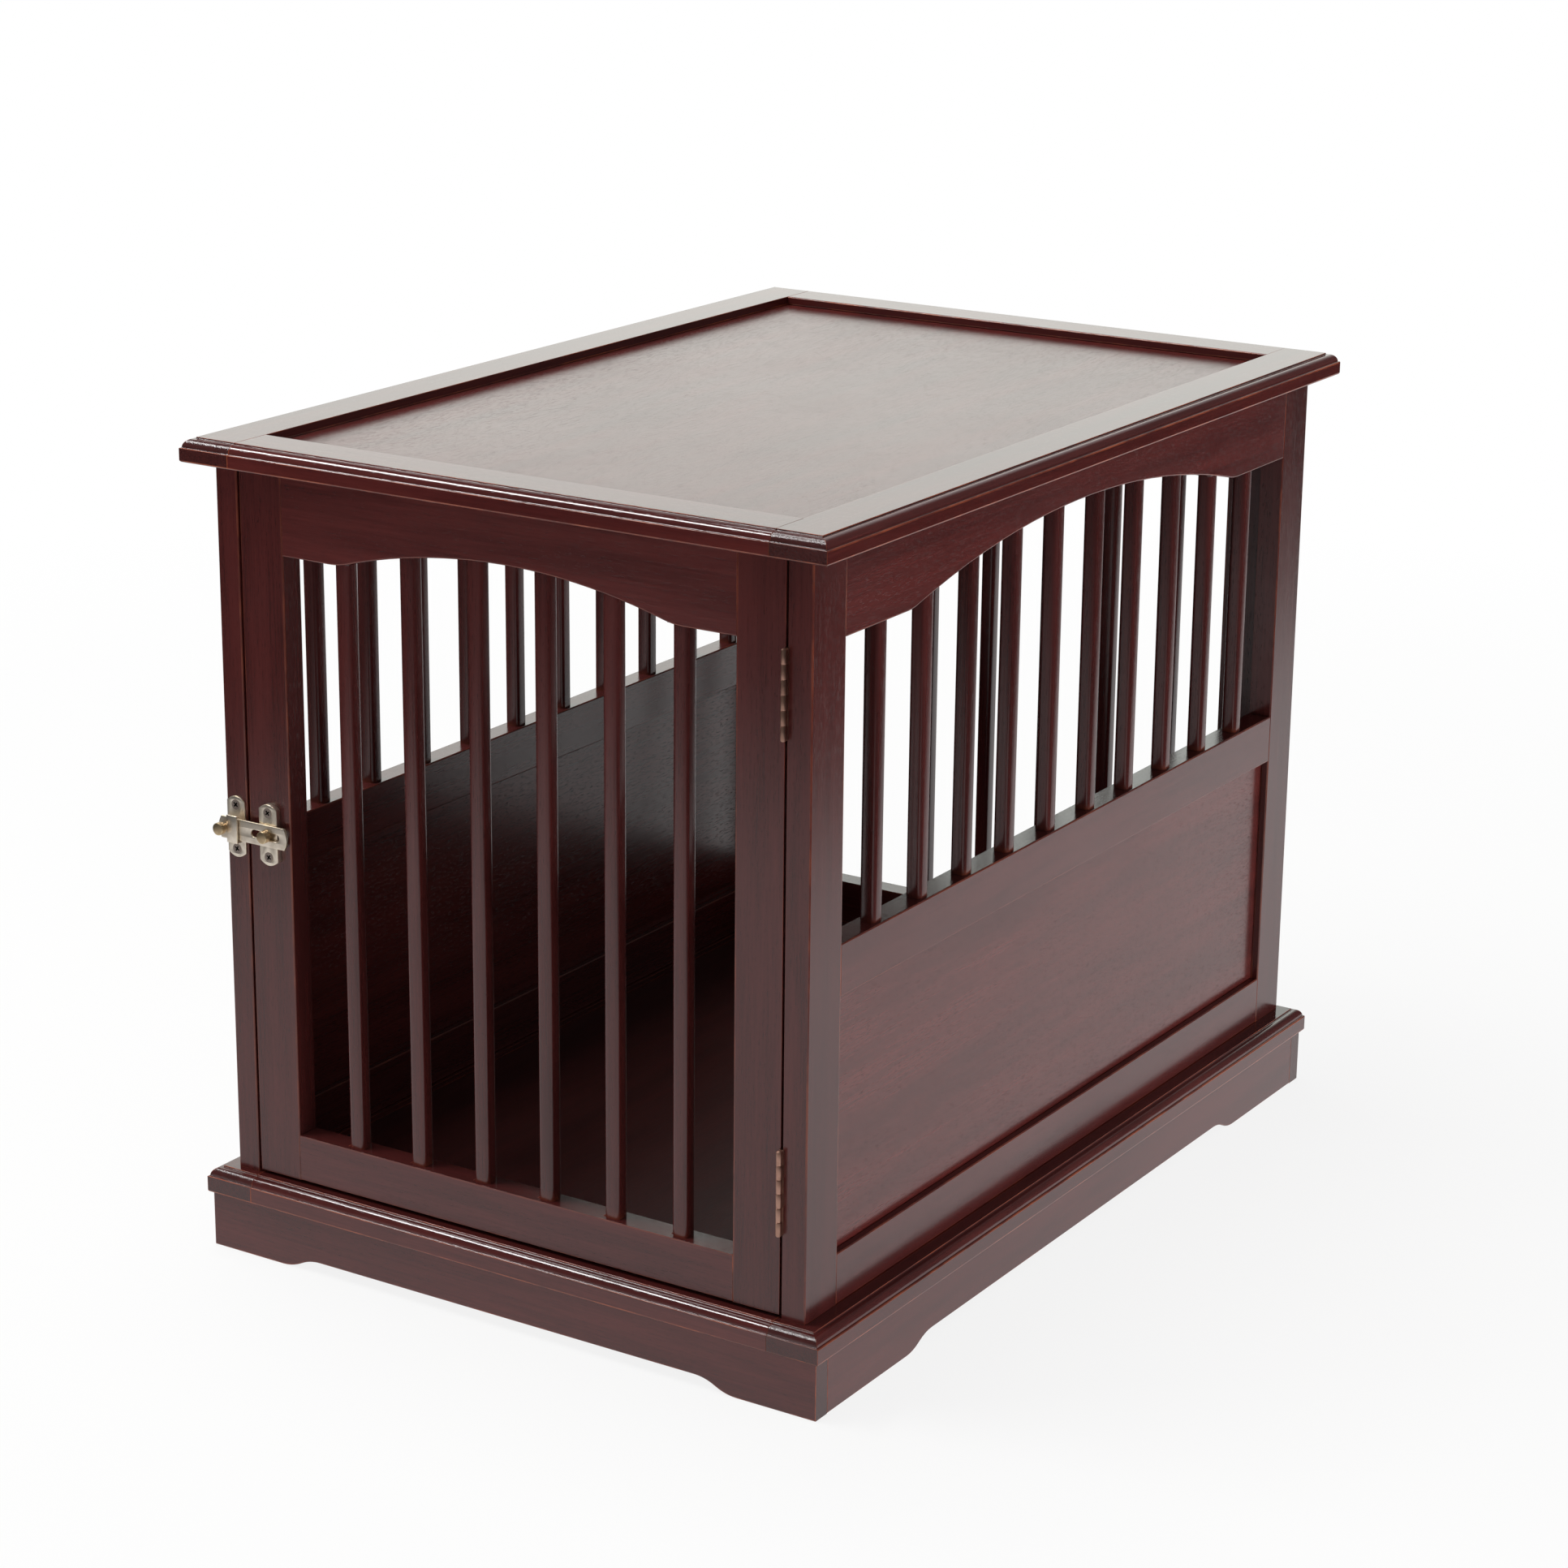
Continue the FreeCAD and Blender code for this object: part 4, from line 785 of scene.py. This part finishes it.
# %% Screws
def make_screw_tree():
    """A cross-head screw on every point, driven along +Z and then turned."""
    tree, inside, result = new_group(
        "cross_head_screws", "GeometryNodeTree",
        [("Geometry", "NodeSocketGeometry", None), ("Head radius", "NodeSocketFloat", 0.003),
         ("Head height", "NodeSocketFloat", 0.0018), ("Shank radius", "NodeSocketFloat", 0.0015),
         ("Length", "NodeSocketFloat", 0.012), ("Cross width", "NodeSocketFloat", 0.0008),
         ("Turn", "NodeSocketVector", None), ("Seed", "NodeSocketInt", 3),
         ("Material", "NodeSocketMaterial", None)],
        [("Geometry", "NodeSocketGeometry")])
    rim = math_node(tree, "MULTIPLY", inside["Head height"], 0.14)
    slope = math_node(tree, "SUBTRACT", inside["Head height"], rim)
    edge = put(tree, "GeometryNodeMeshCylinder", {"Vertices": 28, "Radius": inside["Head radius"], "Depth": rim})
    half_rim = math_node(tree, "MULTIPLY", rim, 0.5)
    edge = put(tree, "GeometryNodeTransform",
               {"Geometry": edge.outputs[0],
                "Translation": put(tree, "ShaderNodeCombineXYZ", {"Z": half_rim}).outputs[0]})
    cone = put(tree, "GeometryNodeMeshCone", {"Vertices": 28, "Radius Bottom": inside["Head radius"],
                                              "Radius Top": inside["Shank radius"], "Depth": slope})
    cone = put(tree, "GeometryNodeTransform",
               {"Geometry": cone.outputs[0], "Translation": put(tree, "ShaderNodeCombineXYZ", {"Z": rim}).outputs[0]})
    shank_length = math_node(tree, "SUBTRACT", inside["Length"], rim)
    shank = put(tree, "GeometryNodeMeshCylinder",
                {"Vertices": 16, "Radius": inside["Shank radius"], "Depth": shank_length})
    shank_middle = math_node(tree, "ADD", rim, math_node(tree, "MULTIPLY", shank_length, 0.5))
    shank = put(tree, "GeometryNodeTransform",
                {"Geometry": shank.outputs[0],
                 "Translation": put(tree, "ShaderNodeCombineXYZ", {"Z": shank_middle}).outputs[0]})
    solid = put(tree, "GeometryNodeMeshBoolean", operation="UNION", solver="EXACT")
    for part in (edge, cone, shank):
        tree.links.new(part.outputs[0], solid.inputs["Mesh 2"])

    arm = math_node(tree, "MULTIPLY", inside["Head radius"], 1.15)
    deep = math_node(tree, "MULTIPLY", inside["Head height"], 1.5)
    cut = put(tree, "GeometryNodeMeshBoolean", operation="DIFFERENCE", solver="EXACT")
    tree.links.new(solid.outputs[0], cut.inputs["Mesh 1"])
    for x, y in ((arm, inside["Cross width"]), (inside["Cross width"], arm)):
        size = put(tree, "ShaderNodeCombineXYZ", {"X": x, "Y": y, "Z": deep}).outputs[0]
        slot = put(tree, "GeometryNodeMeshCube", {"Size": size})
        tree.links.new(slot.outputs[0], cut.inputs["Mesh 2"])
    spin = put(tree, "FunctionNodeRandomValue", {"Seed": inside["Seed"]}, data_type="FLOAT")
    spin.inputs[3].default_value = math.pi
    own = put(tree, "ShaderNodeCombineXYZ", {"Z": spin.outputs[1]}).outputs[0]
    row = put(tree, "GeometryNodeInstanceOnPoints",
              {"Points": inside["Geometry"], "Instance": cut.outputs[0], "Rotation": inside["Turn"]})
    turned = put(tree, "GeometryNodeRotateInstances", {"Instances": row.outputs[0], "Rotation": own})
    real = put(tree, "GeometryNodeRealizeInstances", {"Geometry": turned.outputs[0]})
    painted = put(tree, "GeometryNodeSetMaterial", {"Geometry": real.outputs[0], "Material": inside["Material"]})
    tree.links.new(painted.outputs[0], result["Geometry"])
    return tree


screw_tree = make_screw_tree()


def islands(node):
    """The separate solids of a CAD node, as lists of points."""
    shape = bmesh.new()
    shape.from_mesh(frame["nodes"][node].data)
    bmesh.ops.remove_doubles(shape, verts=shape.verts, dist=2e-6)
    left = set(shape.verts)
    groups = []
    while left:
        start = left.pop()
        group, edge = [start], [start]
        while edge:
            for link in edge.pop().link_edges:
                for vertex in link.verts:
                    if vertex in left:
                        left.remove(vertex)
                        group.append(vertex)
                        edge.append(vertex)
        groups.append([vertex.co.copy() for vertex in group])
    shape.free()
    return groups


def screw_heads(node, direction):
    """The middle of each screw's head in a node, where direction points into the wood."""
    heads = []
    for points in islands(node):
        centre = sum(points, Vector()) / len(points)
        nearest = min(point.dot(direction) for point in points)
        heads.append(centre + direction * (nearest - centre.dot(direction)))
    return heads


def make_screws(node, direction, head_radius, head_height, length, material, proud=0.0):
    """Screws in place of a node's plain ones. A proud head covers its hole's rim."""
    direction = Vector(direction)
    heads = [head - direction * proud for head in screw_heads(node, direction)]
    base = bpy.data.meshes.new(node + "_set")
    base.from_pydata(heads, [], [])
    turn = Vector((0, 0, 1)).rotation_difference(direction).to_euler()
    piece = grow(node + "_set", screw_tree,
                 {"Head radius": head_radius, "Head height": head_height, "Length": length,
                  "Cross width": head_radius * 0.3, "Turn": Vector(turn),
                  "Seed": len(node), "Material": material}, base)
    mesh = piece.data
    mesh.shade_flat()
    # Rim faces take the lighter edge colour, polish with a painted highlight; faces down in the cross are painted
    # near-black as painted shade.
    rim = [1.0 if abs(face.normal.dot(direction)) < 0.4 else 0.0 for face in mesh.polygons for _ in face.loop_indices]
    store(mesh, "rub", "FLOAT", "CORNER", rim, "value")
    top = min(vertex.co.dot(direction) for vertex in mesh.vertices)
    deep = [1.0 if face.center.dot(direction) > top + 0.08 * head_height else 0.0
            for face in mesh.polygons for _ in face.loop_indices]
    store(mesh, "hollow", "FLOAT", "CORNER", deep, "value")
    print(node, len(heads), "screws,", len(mesh.polygons), "faces")
    return finish_piece(piece, material, frame["nodes"][node]["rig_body"], [node])


screws = [
    make_screws("keeper_screws", (0, 1, 0), 3.0 * MM, 1.8 * MM, 13.2 * MM, dark_screw, 0.1 * MM),
    make_screws("latch_plate_screws", (0, 1, 0), 3.0 * MM, 1.8 * MM, 15.7 * MM, dark_screw, 0.1 * MM),
    make_screws("hinge_frame_screws", (1, 0, 0), 2.5 * MM, 1.1 * MM, 12 * MM, copper),
    make_screws("hinge_door_screws", (-1, 0, 0), 2.5 * MM, 1.1 * MM, 12 * MM, copper),
    make_screws("base_screws", (0, 0, 1), 3.0 * MM, 1.8 * MM, 34 * MM, zinc_screw),
]

# %% [markdown]
# Round metal parts are turned: hinge knuckles, pins, the latch's stud and knob.
# A turned part is a profile spun about an axis, so a small lathe helper makes
# them all, with enough sides to stay round and with the little chamfers that
# catch the light.


# %% A lathe
def turned(shape, profile, centre, direction, sides=40):
    """Spin (distance along, radius) pairs about an axis and add them to a mesh."""
    direction = Vector(direction)
    across = Vector((0, 0, 1)).cross(direction) if abs(direction.z) < 0.5 else Vector((1, 0, 0))
    third = direction.cross(across)
    rings = []
    for along, radius in profile:
        base = Vector(centre) + direction * along
        rings.append([shape.verts.new(base + across * (radius * math.cos(a)) + third * (radius * math.sin(a)))
                      for a in (2 * math.pi * i / sides for i in range(sides))])
    for low, high in zip(rings, rings[1:]):
        for i in range(sides):
            shape.faces.new((low[i - 1], low[i], high[i], high[i - 1])).smooth = True
    shape.faces.new(list(reversed(rings[0])))
    shape.faces.new(rings[-1])


def mesh_object(name, shape, keep_sharp=25):
    """Turn a bmesh into an object, with its faces outward and its creases kept."""
    bmesh.ops.recalc_face_normals(shape, faces=shape.faces)
    mesh = bpy.data.meshes.new(name)
    shape.to_mesh(mesh)
    shape.free()
    mesh.set_sharp_from_angle(angle=math.radians(keep_sharp))
    piece = bpy.data.objects.new(name, mesh)
    bpy.context.scene.collection.objects.link(piece)
    return piece


def chamfered(low, high, radius, edge):
    """Profile of a plain cylinder with both rims eased."""
    return [(low, radius - edge), (low + edge * 0.4, radius - edge * 0.25), (low + edge, radius),
            (high - edge, radius), (high - edge * 0.4, radius - edge * 0.25), (high, radius - edge)]


def store_polish_highlight(mesh, value_of):
    """A mask of lighter metal edges, from each face: polish with a painted highlight."""
    rub = [value_of(face) for face in mesh.polygons for _ in face.loop_indices]
    store(mesh, "rub", "FLOAT", "CORNER", rub, "value")


print("lathe ready")

# %% [markdown]
# Each hinge is two leaves rolled into knuckles round one pin. The leaves hide in
# the gap beside the door, and the slim barrel stands proud of the door's face.
# The six knuckles are one turned ring repeated along the pin, alternately on
# the frame's leaf and on the door's, so a tree repeats a turned ring and the
# flat leaf is added to it.

# %% Hinges
KNUCKLES = 6
KNUCKLE_RADIUS = 1.6 * MM
KNUCKLE_GAP = 0.2 * MM
PIN_RADIUS = 0.8 * MM
PIN_HEAD = 0.4 * MM
PIN_HEAD_RADIUS = 1.2 * MM


def make_row_tree():
    """Copies of one object along a line."""
    tree, inside, result = new_group(
        "row_of_copies", "GeometryNodeTree",
        [("Geometry", "NodeSocketGeometry", None), ("Copied", "NodeSocketObject", None),
         ("Count", "NodeSocketInt", 3), ("First", "NodeSocketVector", None),
         ("Step", "NodeSocketVector", None), ("Material", "NodeSocketMaterial", None)],
        [("Geometry", "NodeSocketGeometry")])
    line = put(tree, "GeometryNodeMeshLine", {"Count": inside["Count"], "Start Location": inside["First"],
                                              "Offset": inside["Step"]})
    copied = put(tree, "GeometryNodeObjectInfo", {"Object": inside["Copied"]})
    row = put(tree, "GeometryNodeInstanceOnPoints",
              {"Points": line.outputs[0], "Instance": copied.outputs["Geometry"]})
    real = put(tree, "GeometryNodeRealizeInstances", {"Geometry": row.outputs[0]})
    both = put(tree, "GeometryNodeJoinGeometry")
    tree.links.new(real.outputs[0], both.inputs[0])
    tree.links.new(inside["Geometry"], both.inputs[0])
    painted = put(tree, "GeometryNodeSetMaterial", {"Geometry": both.outputs[0], "Material": inside["Material"]})
    tree.links.new(painted.outputs[0], result["Geometry"])
    return tree


row_tree = make_row_tree()


def bevelled_block(shape, low, high, edge):
    """A block with small chamfers on all its edges."""
    made = bmesh.ops.create_cube(shape, size=1.0)["verts"]
    low, high = Vector(low), Vector(high)
    for vertex in made:
        vertex.co = Vector([low[i] if vertex.co[i] < 0 else high[i] for i in range(3)])
    edges = list({e for v in made for e in v.link_edges})
    bmesh.ops.bevel(shape, geom=edges, offset=edge, segments=2, profile=0.5, affect="EDGES")


def make_leaf(place, owner):
    """One leaf and its knuckles."""
    node = f"hinge_{place}_{owner}_leaf"
    low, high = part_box(node)
    z0, z1 = low.z, high.z
    pin_low, pin_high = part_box(f"hinge_{place}_pin")
    centre = (pin_low + pin_high) / 2
    pitch = (z1 - z0) / KNUCKLES
    ring = bmesh.new()
    turned(ring, chamfered(KNUCKLE_GAP / 2, pitch - KNUCKLE_GAP / 2, KNUCKLE_RADIUS, 0.25 * MM),
           (0, 0, 0), (0, 0, 1), 36)
    ring = mesh_object("knuckle_pattern", ring)
    first = 0 if owner == "frame" else 1
    side = 1 if owner == "frame" else -1
    flat = bmesh.new()
    x_near = centre.x + side * 0.15 * MM
    x_far = x_near + side * 1.2 * MM
    xs = sorted((x_near, x_far))
    bevelled_block(flat, (xs[0], centre.y + 1.8 * MM, z0), (xs[1], high.y, z1), 0.2 * MM)
    for i in range(first, KNUCKLES, 2):
        bevelled_block(flat, (xs[0], centre.y, z0 + i * pitch + 0.2 * MM),
                       (xs[1], centre.y + 2.1 * MM, z0 + (i + 1) * pitch - 0.2 * MM), 0.15 * MM)
    base = mesh_object(node + "_metal", flat)
    mesh = base.data
    bpy.data.objects.remove(base)
    piece = grow(node + "_metal", row_tree,
                 {"Copied": ring, "Count": len(range(first, KNUCKLES, 2)),
                  "First": Vector((centre.x, centre.y, z0 + first * pitch)),
                  "Step": Vector((0, 0, 2 * pitch)), "Material": copper}, mesh)
    bpy.data.objects.remove(ring)
    # The small chamfer faces take the lighter edge colour: polish with a painted highlight.
    store_polish_highlight(piece.data, lambda face: 1.0 if face.area < 0.5e-6 else 0.0)
    return finish_piece(piece, copper, frame["nodes"][node]["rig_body"], [node])


def make_pin(place):
    """The pin's two flat heads with the shaft between them."""
    node = f"hinge_{place}_pin"
    low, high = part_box(node)
    centre = (low + high) / 2
    shape = bmesh.new()
    tall = high.z - low.z
    r = PIN_HEAD_RADIUS
    dome = [(0, 0.4 * r), (0.1 * MM, 0.75 * r), (0.25 * MM, 0.95 * r), (PIN_HEAD, r), (PIN_HEAD + 0.01 * MM, PIN_RADIUS)]
    turned(shape, dome + [(tall - along, radius) for along, radius in reversed(dome)],
           (centre.x, centre.y, low.z), (0, 0, 1), 30)
    piece = mesh_object(node + "_metal", shape)
    # The pin's heads take the lighter edge colour: polish with a painted highlight.
    store_polish_highlight(piece.data, lambda face: 1.0 if abs(face.normal.z) > 0.3 else 0.0)
    return finish_piece(piece, copper, frame["nodes"][node]["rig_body"], [node])


hinge_pieces = [make_leaf(place, owner) for place in ("upper", "lower") for owner in ("frame", "door")]
hinge_pieces += [make_pin(place) for place in ("upper", "lower")]
print(len(hinge_pieces), "hinge pieces")

# %% [markdown]
# The latch is a bar that slides on a stud. Its plates and bar are cut from sheet.
# Each is drawn as a flat curve with its holes and given a thickness, which keeps
# small holes round. The rims are eased a little, and there the plating is painted
# lightest: polish with a painted highlight. The stud and the knob are turned.


# %% Latch
PLATE_W, PLATE_BOW = 13 * MM, 3 * MM
SHEET, DOOR_WALL = 1.2 * MM, 1.0 * MM
SCREW_HOLE = 2.8 * MM
SHEET_EDGE = 0.3 * MM


def cut_sheet(shape, loops, front, back, edge=SHEET_EDGE):
    """Add a flat sheet with eased rims to a mesh. Its loops of (x, z) run counter-clockwise."""
    curve = bpy.data.curves.new("sheet_outline", "CURVE")
    curve.dimensions, curve.fill_mode = "2D", "BOTH"
    curve.extrude = (back - front) / 2 - edge
    curve.bevel_depth, curve.bevel_resolution, curve.offset = edge, 2, -edge
    for points in loops:
        spline = curve.splines.new("POLY")
        spline.points.add(len(points) - 1)
        spline.use_cyclic_u = True
        for point, (x, z) in zip(spline.points, points):
            point.co = (x, z, 0, 1)
    drawn = bpy.data.objects.new("sheet_drawing", curve)
    bpy.context.scene.collection.objects.link(drawn)
    graph = bpy.context.evaluated_depsgraph_get()
    before = set(shape.verts)
    shape.from_mesh(drawn.evaluated_get(graph).to_mesh())
    bpy.data.objects.remove(drawn)
    added = [vertex for vertex in shape.verts if vertex not in before]
    for vertex in added:
        x, z, y = vertex.co
        vertex.co = (x, (front + back) / 2 - y, z)
    bmesh.ops.remove_doubles(shape, verts=added, dist=1e-6)


def circle(x, z, radius):
    """A round hole."""
    return [(x + radius * math.cos(a), z + radius * math.sin(a)) for a in (math.pi * i / 14 for i in range(28))]


def plate_outline(x, low, high, inset=0.0):
    """Straight sides and bowed ends."""
    half = PLATE_W / 2 - inset
    steps = [i / 8 - 1 for i in range(17)]
    return ([(x + t * half, low + inset + PLATE_BOW * t * t) for t in steps]
            + [(x - t * half, high - inset - PLATE_BOW * t * t) for t in steps])


def finish_latch(name, shape, body, node):
    """A brass piece whose slanting rims are painted lighter: polish with a painted highlight."""
    piece = mesh_object(name, shape, 50)
    store_polish_highlight(piece.data, lambda face: 1.0 if 0.1 < abs(face.normal.y) < 0.95 else 0.0)
    return finish_piece(piece, brass, body, [node])


def make_keeper():
    """The keeper: a plate with a shelf and a lip that the bar drops behind."""
    low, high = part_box("keeper_plate")
    heads = screw_heads("keeper_screws", Vector((0, 1, 0)))
    x = heads[0].x
    shape = bmesh.new()
    cut_sheet(shape, [plate_outline(x, low.z, high.z)] + [circle(h.x, h.z, SCREW_HOLE) for h in heads],
              high.y - SHEET, high.y)
    lip_x, lip_half = x + 1.7 * MM, 3.8 * MM
    bar_low, bar_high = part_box("latch_bar")
    shelf = bar_low.z - 0.35 * MM - SHEET
    bevelled_block(shape, (lip_x - lip_half, low.y + SHEET / 2, shelf),
                   (lip_x + lip_half, high.y - SHEET / 2, shelf + SHEET), SHEET_EDGE)
    bevelled_block(shape, (lip_x - lip_half, low.y, shelf),
                   (lip_x + lip_half, low.y + SHEET, shelf + 16.4 * MM), SHEET_EDGE)
    return finish_latch("keeper_plate_metal", shape, "frame", "keeper_plate")


def make_door_plate():
    """The raised plate on the door: a front sheet on a hollow wall."""
    low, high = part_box("latch_plate")
    heads = screw_heads("latch_plate_screws", Vector((0, 1, 0)))
    x, z = (low.x + high.x) / 2, (low.z + high.z) / 2
    shape = bmesh.new()
    cut_sheet(shape, [plate_outline(x, low.z, high.z), circle(x, z, 2.1 * MM)]
              + [circle(h.x, h.z, SCREW_HOLE) for h in heads], low.y, low.y + DOOR_WALL)
    cut_sheet(shape, [plate_outline(x, low.z, high.z, 0.02 * MM), plate_outline(x, low.z, high.z, DOOR_WALL)],
              low.y + 0.35 * MM, high.y)
    return finish_latch("latch_plate_metal", shape, "door", "latch_plate")


def make_bar():
    """The slotted bar: a strip with bowed ends."""
    low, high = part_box("latch_bar")
    stud_low, stud_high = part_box("latch_stud")
    middle = (low + high) / 2
    stud_x = (stud_low.x + stud_high.x) / 2
    bow, half = 2.0 * MM, (high.z - low.z) / 2

    def bowed_end(x, side):
        """Points of one end, from its lower corner to its upper one."""
        steps = 12
        return [(x - side * bow * (2 * i / steps - 1) ** 2, middle.z + side * half * (2 * i / steps - 1))
                for i in range(steps + 1)]

    def round_end(x, side):
        """Half a circle at one end of the slot."""
        radius = 2.25 * MM
        return [(x + side * radius * math.sin(math.pi * i / 12), middle.z - side * radius * math.cos(math.pi * i / 12))
                for i in range(13)]

    shape = bmesh.new()
    outer = bowed_end(high.x, 1) + bowed_end(low.x, -1)
    slot_hole = round_end(stud_x + 7.25 * MM, 1) + round_end(stud_x - 8.75 * MM, -1)
    cut_sheet(shape, [outer, slot_hole], low.y, high.y)
    piece = mesh_object("latch_bar_metal", shape, 50)
    # All but the bar's front and back take the lighter edge colour: polish with a painted highlight.
    store_polish_highlight(piece.data, lambda face: 1.0 if abs(face.normal.y) < 0.95 else 0.0)
    return finish_piece(piece, brass, "latch_bar", ["latch_bar"])


def make_stud():
    """The fixed stud: neck, collar and a flat, eased head."""
    low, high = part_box("latch_stud")
    x, z = (low.x + high.x) / 2, (low.z + high.z) / 2
    reach = high.y - low.y
    shape = bmesh.new()
    r = 3.6 * MM
    head = 4.0 * MM
    turned(shape, [(0, r - 0.5 * MM), (0.08 * MM, r - 0.28 * MM), (0.28 * MM, r - 0.06 * MM), (0.5 * MM, r),
                   (head - 0.3 * MM, r), (head, r - 0.3 * MM), (head, 2.0 * MM),
                   (reach - 0.8 * MM, 2.0 * MM), (reach - 0.8 * MM, 3.1 * MM), (reach, 3.1 * MM)],
           (x, low.y, z), (0, 1, 0), 44)
    piece = mesh_object("latch_stud_metal", shape)
    # The slanting rims take the lighter edge colour: polish with a painted highlight.
    store_polish_highlight(piece.data, lambda face: 1.0 if 0.1 < abs(face.normal.y) < 0.97 else 0.0)
    return finish_piece(piece, brass_knob, "latch_stud", ["latch_stud"])


def make_knob():
    """The knob that a finger pushes, riveted through the bar."""
    low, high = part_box("latch_knob")
    x, z = (low.x + high.x) / 2, (low.z + high.z) / 2
    reach = high.y - low.y
    shape = bmesh.new()
    r = 3.7 * MM
    head = 3.6 * MM
    turned(shape, [(0, r - 0.5 * MM), (0.08 * MM, r - 0.28 * MM), (0.28 * MM, r - 0.06 * MM), (0.5 * MM, r),
                   (head - 0.3 * MM, r), (head, r - 0.3 * MM), (head, 2.0 * MM),
                   (reach - 1.5 * MM, 2.0 * MM), (reach - 1.5 * MM, 1.5 * MM), (reach, 1.5 * MM)],
           (x, low.y, z), (0, 1, 0), 44)
    piece = mesh_object("latch_knob_metal", shape)
    # The slanting rims take the lighter edge colour: polish with a painted highlight.
    store_polish_highlight(piece.data, lambda face: 1.0 if 0.1 < abs(face.normal.y) < 0.97 else 0.0)
    return finish_piece(piece, brass_knob, "latch_bar", ["latch_knob"])


latch_pieces = [make_keeper(), make_door_plate(), make_bar(), make_stud(), make_knob()]
print(len(latch_pieces), "latch pieces")

# %% [markdown]
# The dowels never show on a closed table, but they are there, in bare wood, when
# the joinery is taken apart. Their shapes need nothing more than a material.

# %% Bare dowels
bare = bpy.data.materials.new("bare_hardwood")
bare.use_nodes = True
tree = bare.node_tree
shader = tree.nodes["Principled BSDF"]
place = put(tree, "ShaderNodeTexCoord").outputs["Object"]
wood = group_node(tree, grain_group, {"Along": place, "Dark": (0.42, 0.27, 0.15, 1),
                                      "Light": (0.62, 0.45, 0.28, 1), "Pores": 0.15})
tree.links.new(wood["Colour"], shader.inputs["Base Color"])
bump = put(tree, "ShaderNodeBump", {"Height": wood["Height"], "Strength": 0.4, "Distance": 0.0002})
tree.links.new(bump.outputs[0], shader.inputs["Normal"])
shader.inputs["Roughness"].default_value = 0.7
dowels = frame["nodes"]["frame_dowels"]
dowels.data.materials.clear()
dowels.data.materials.append(bare)
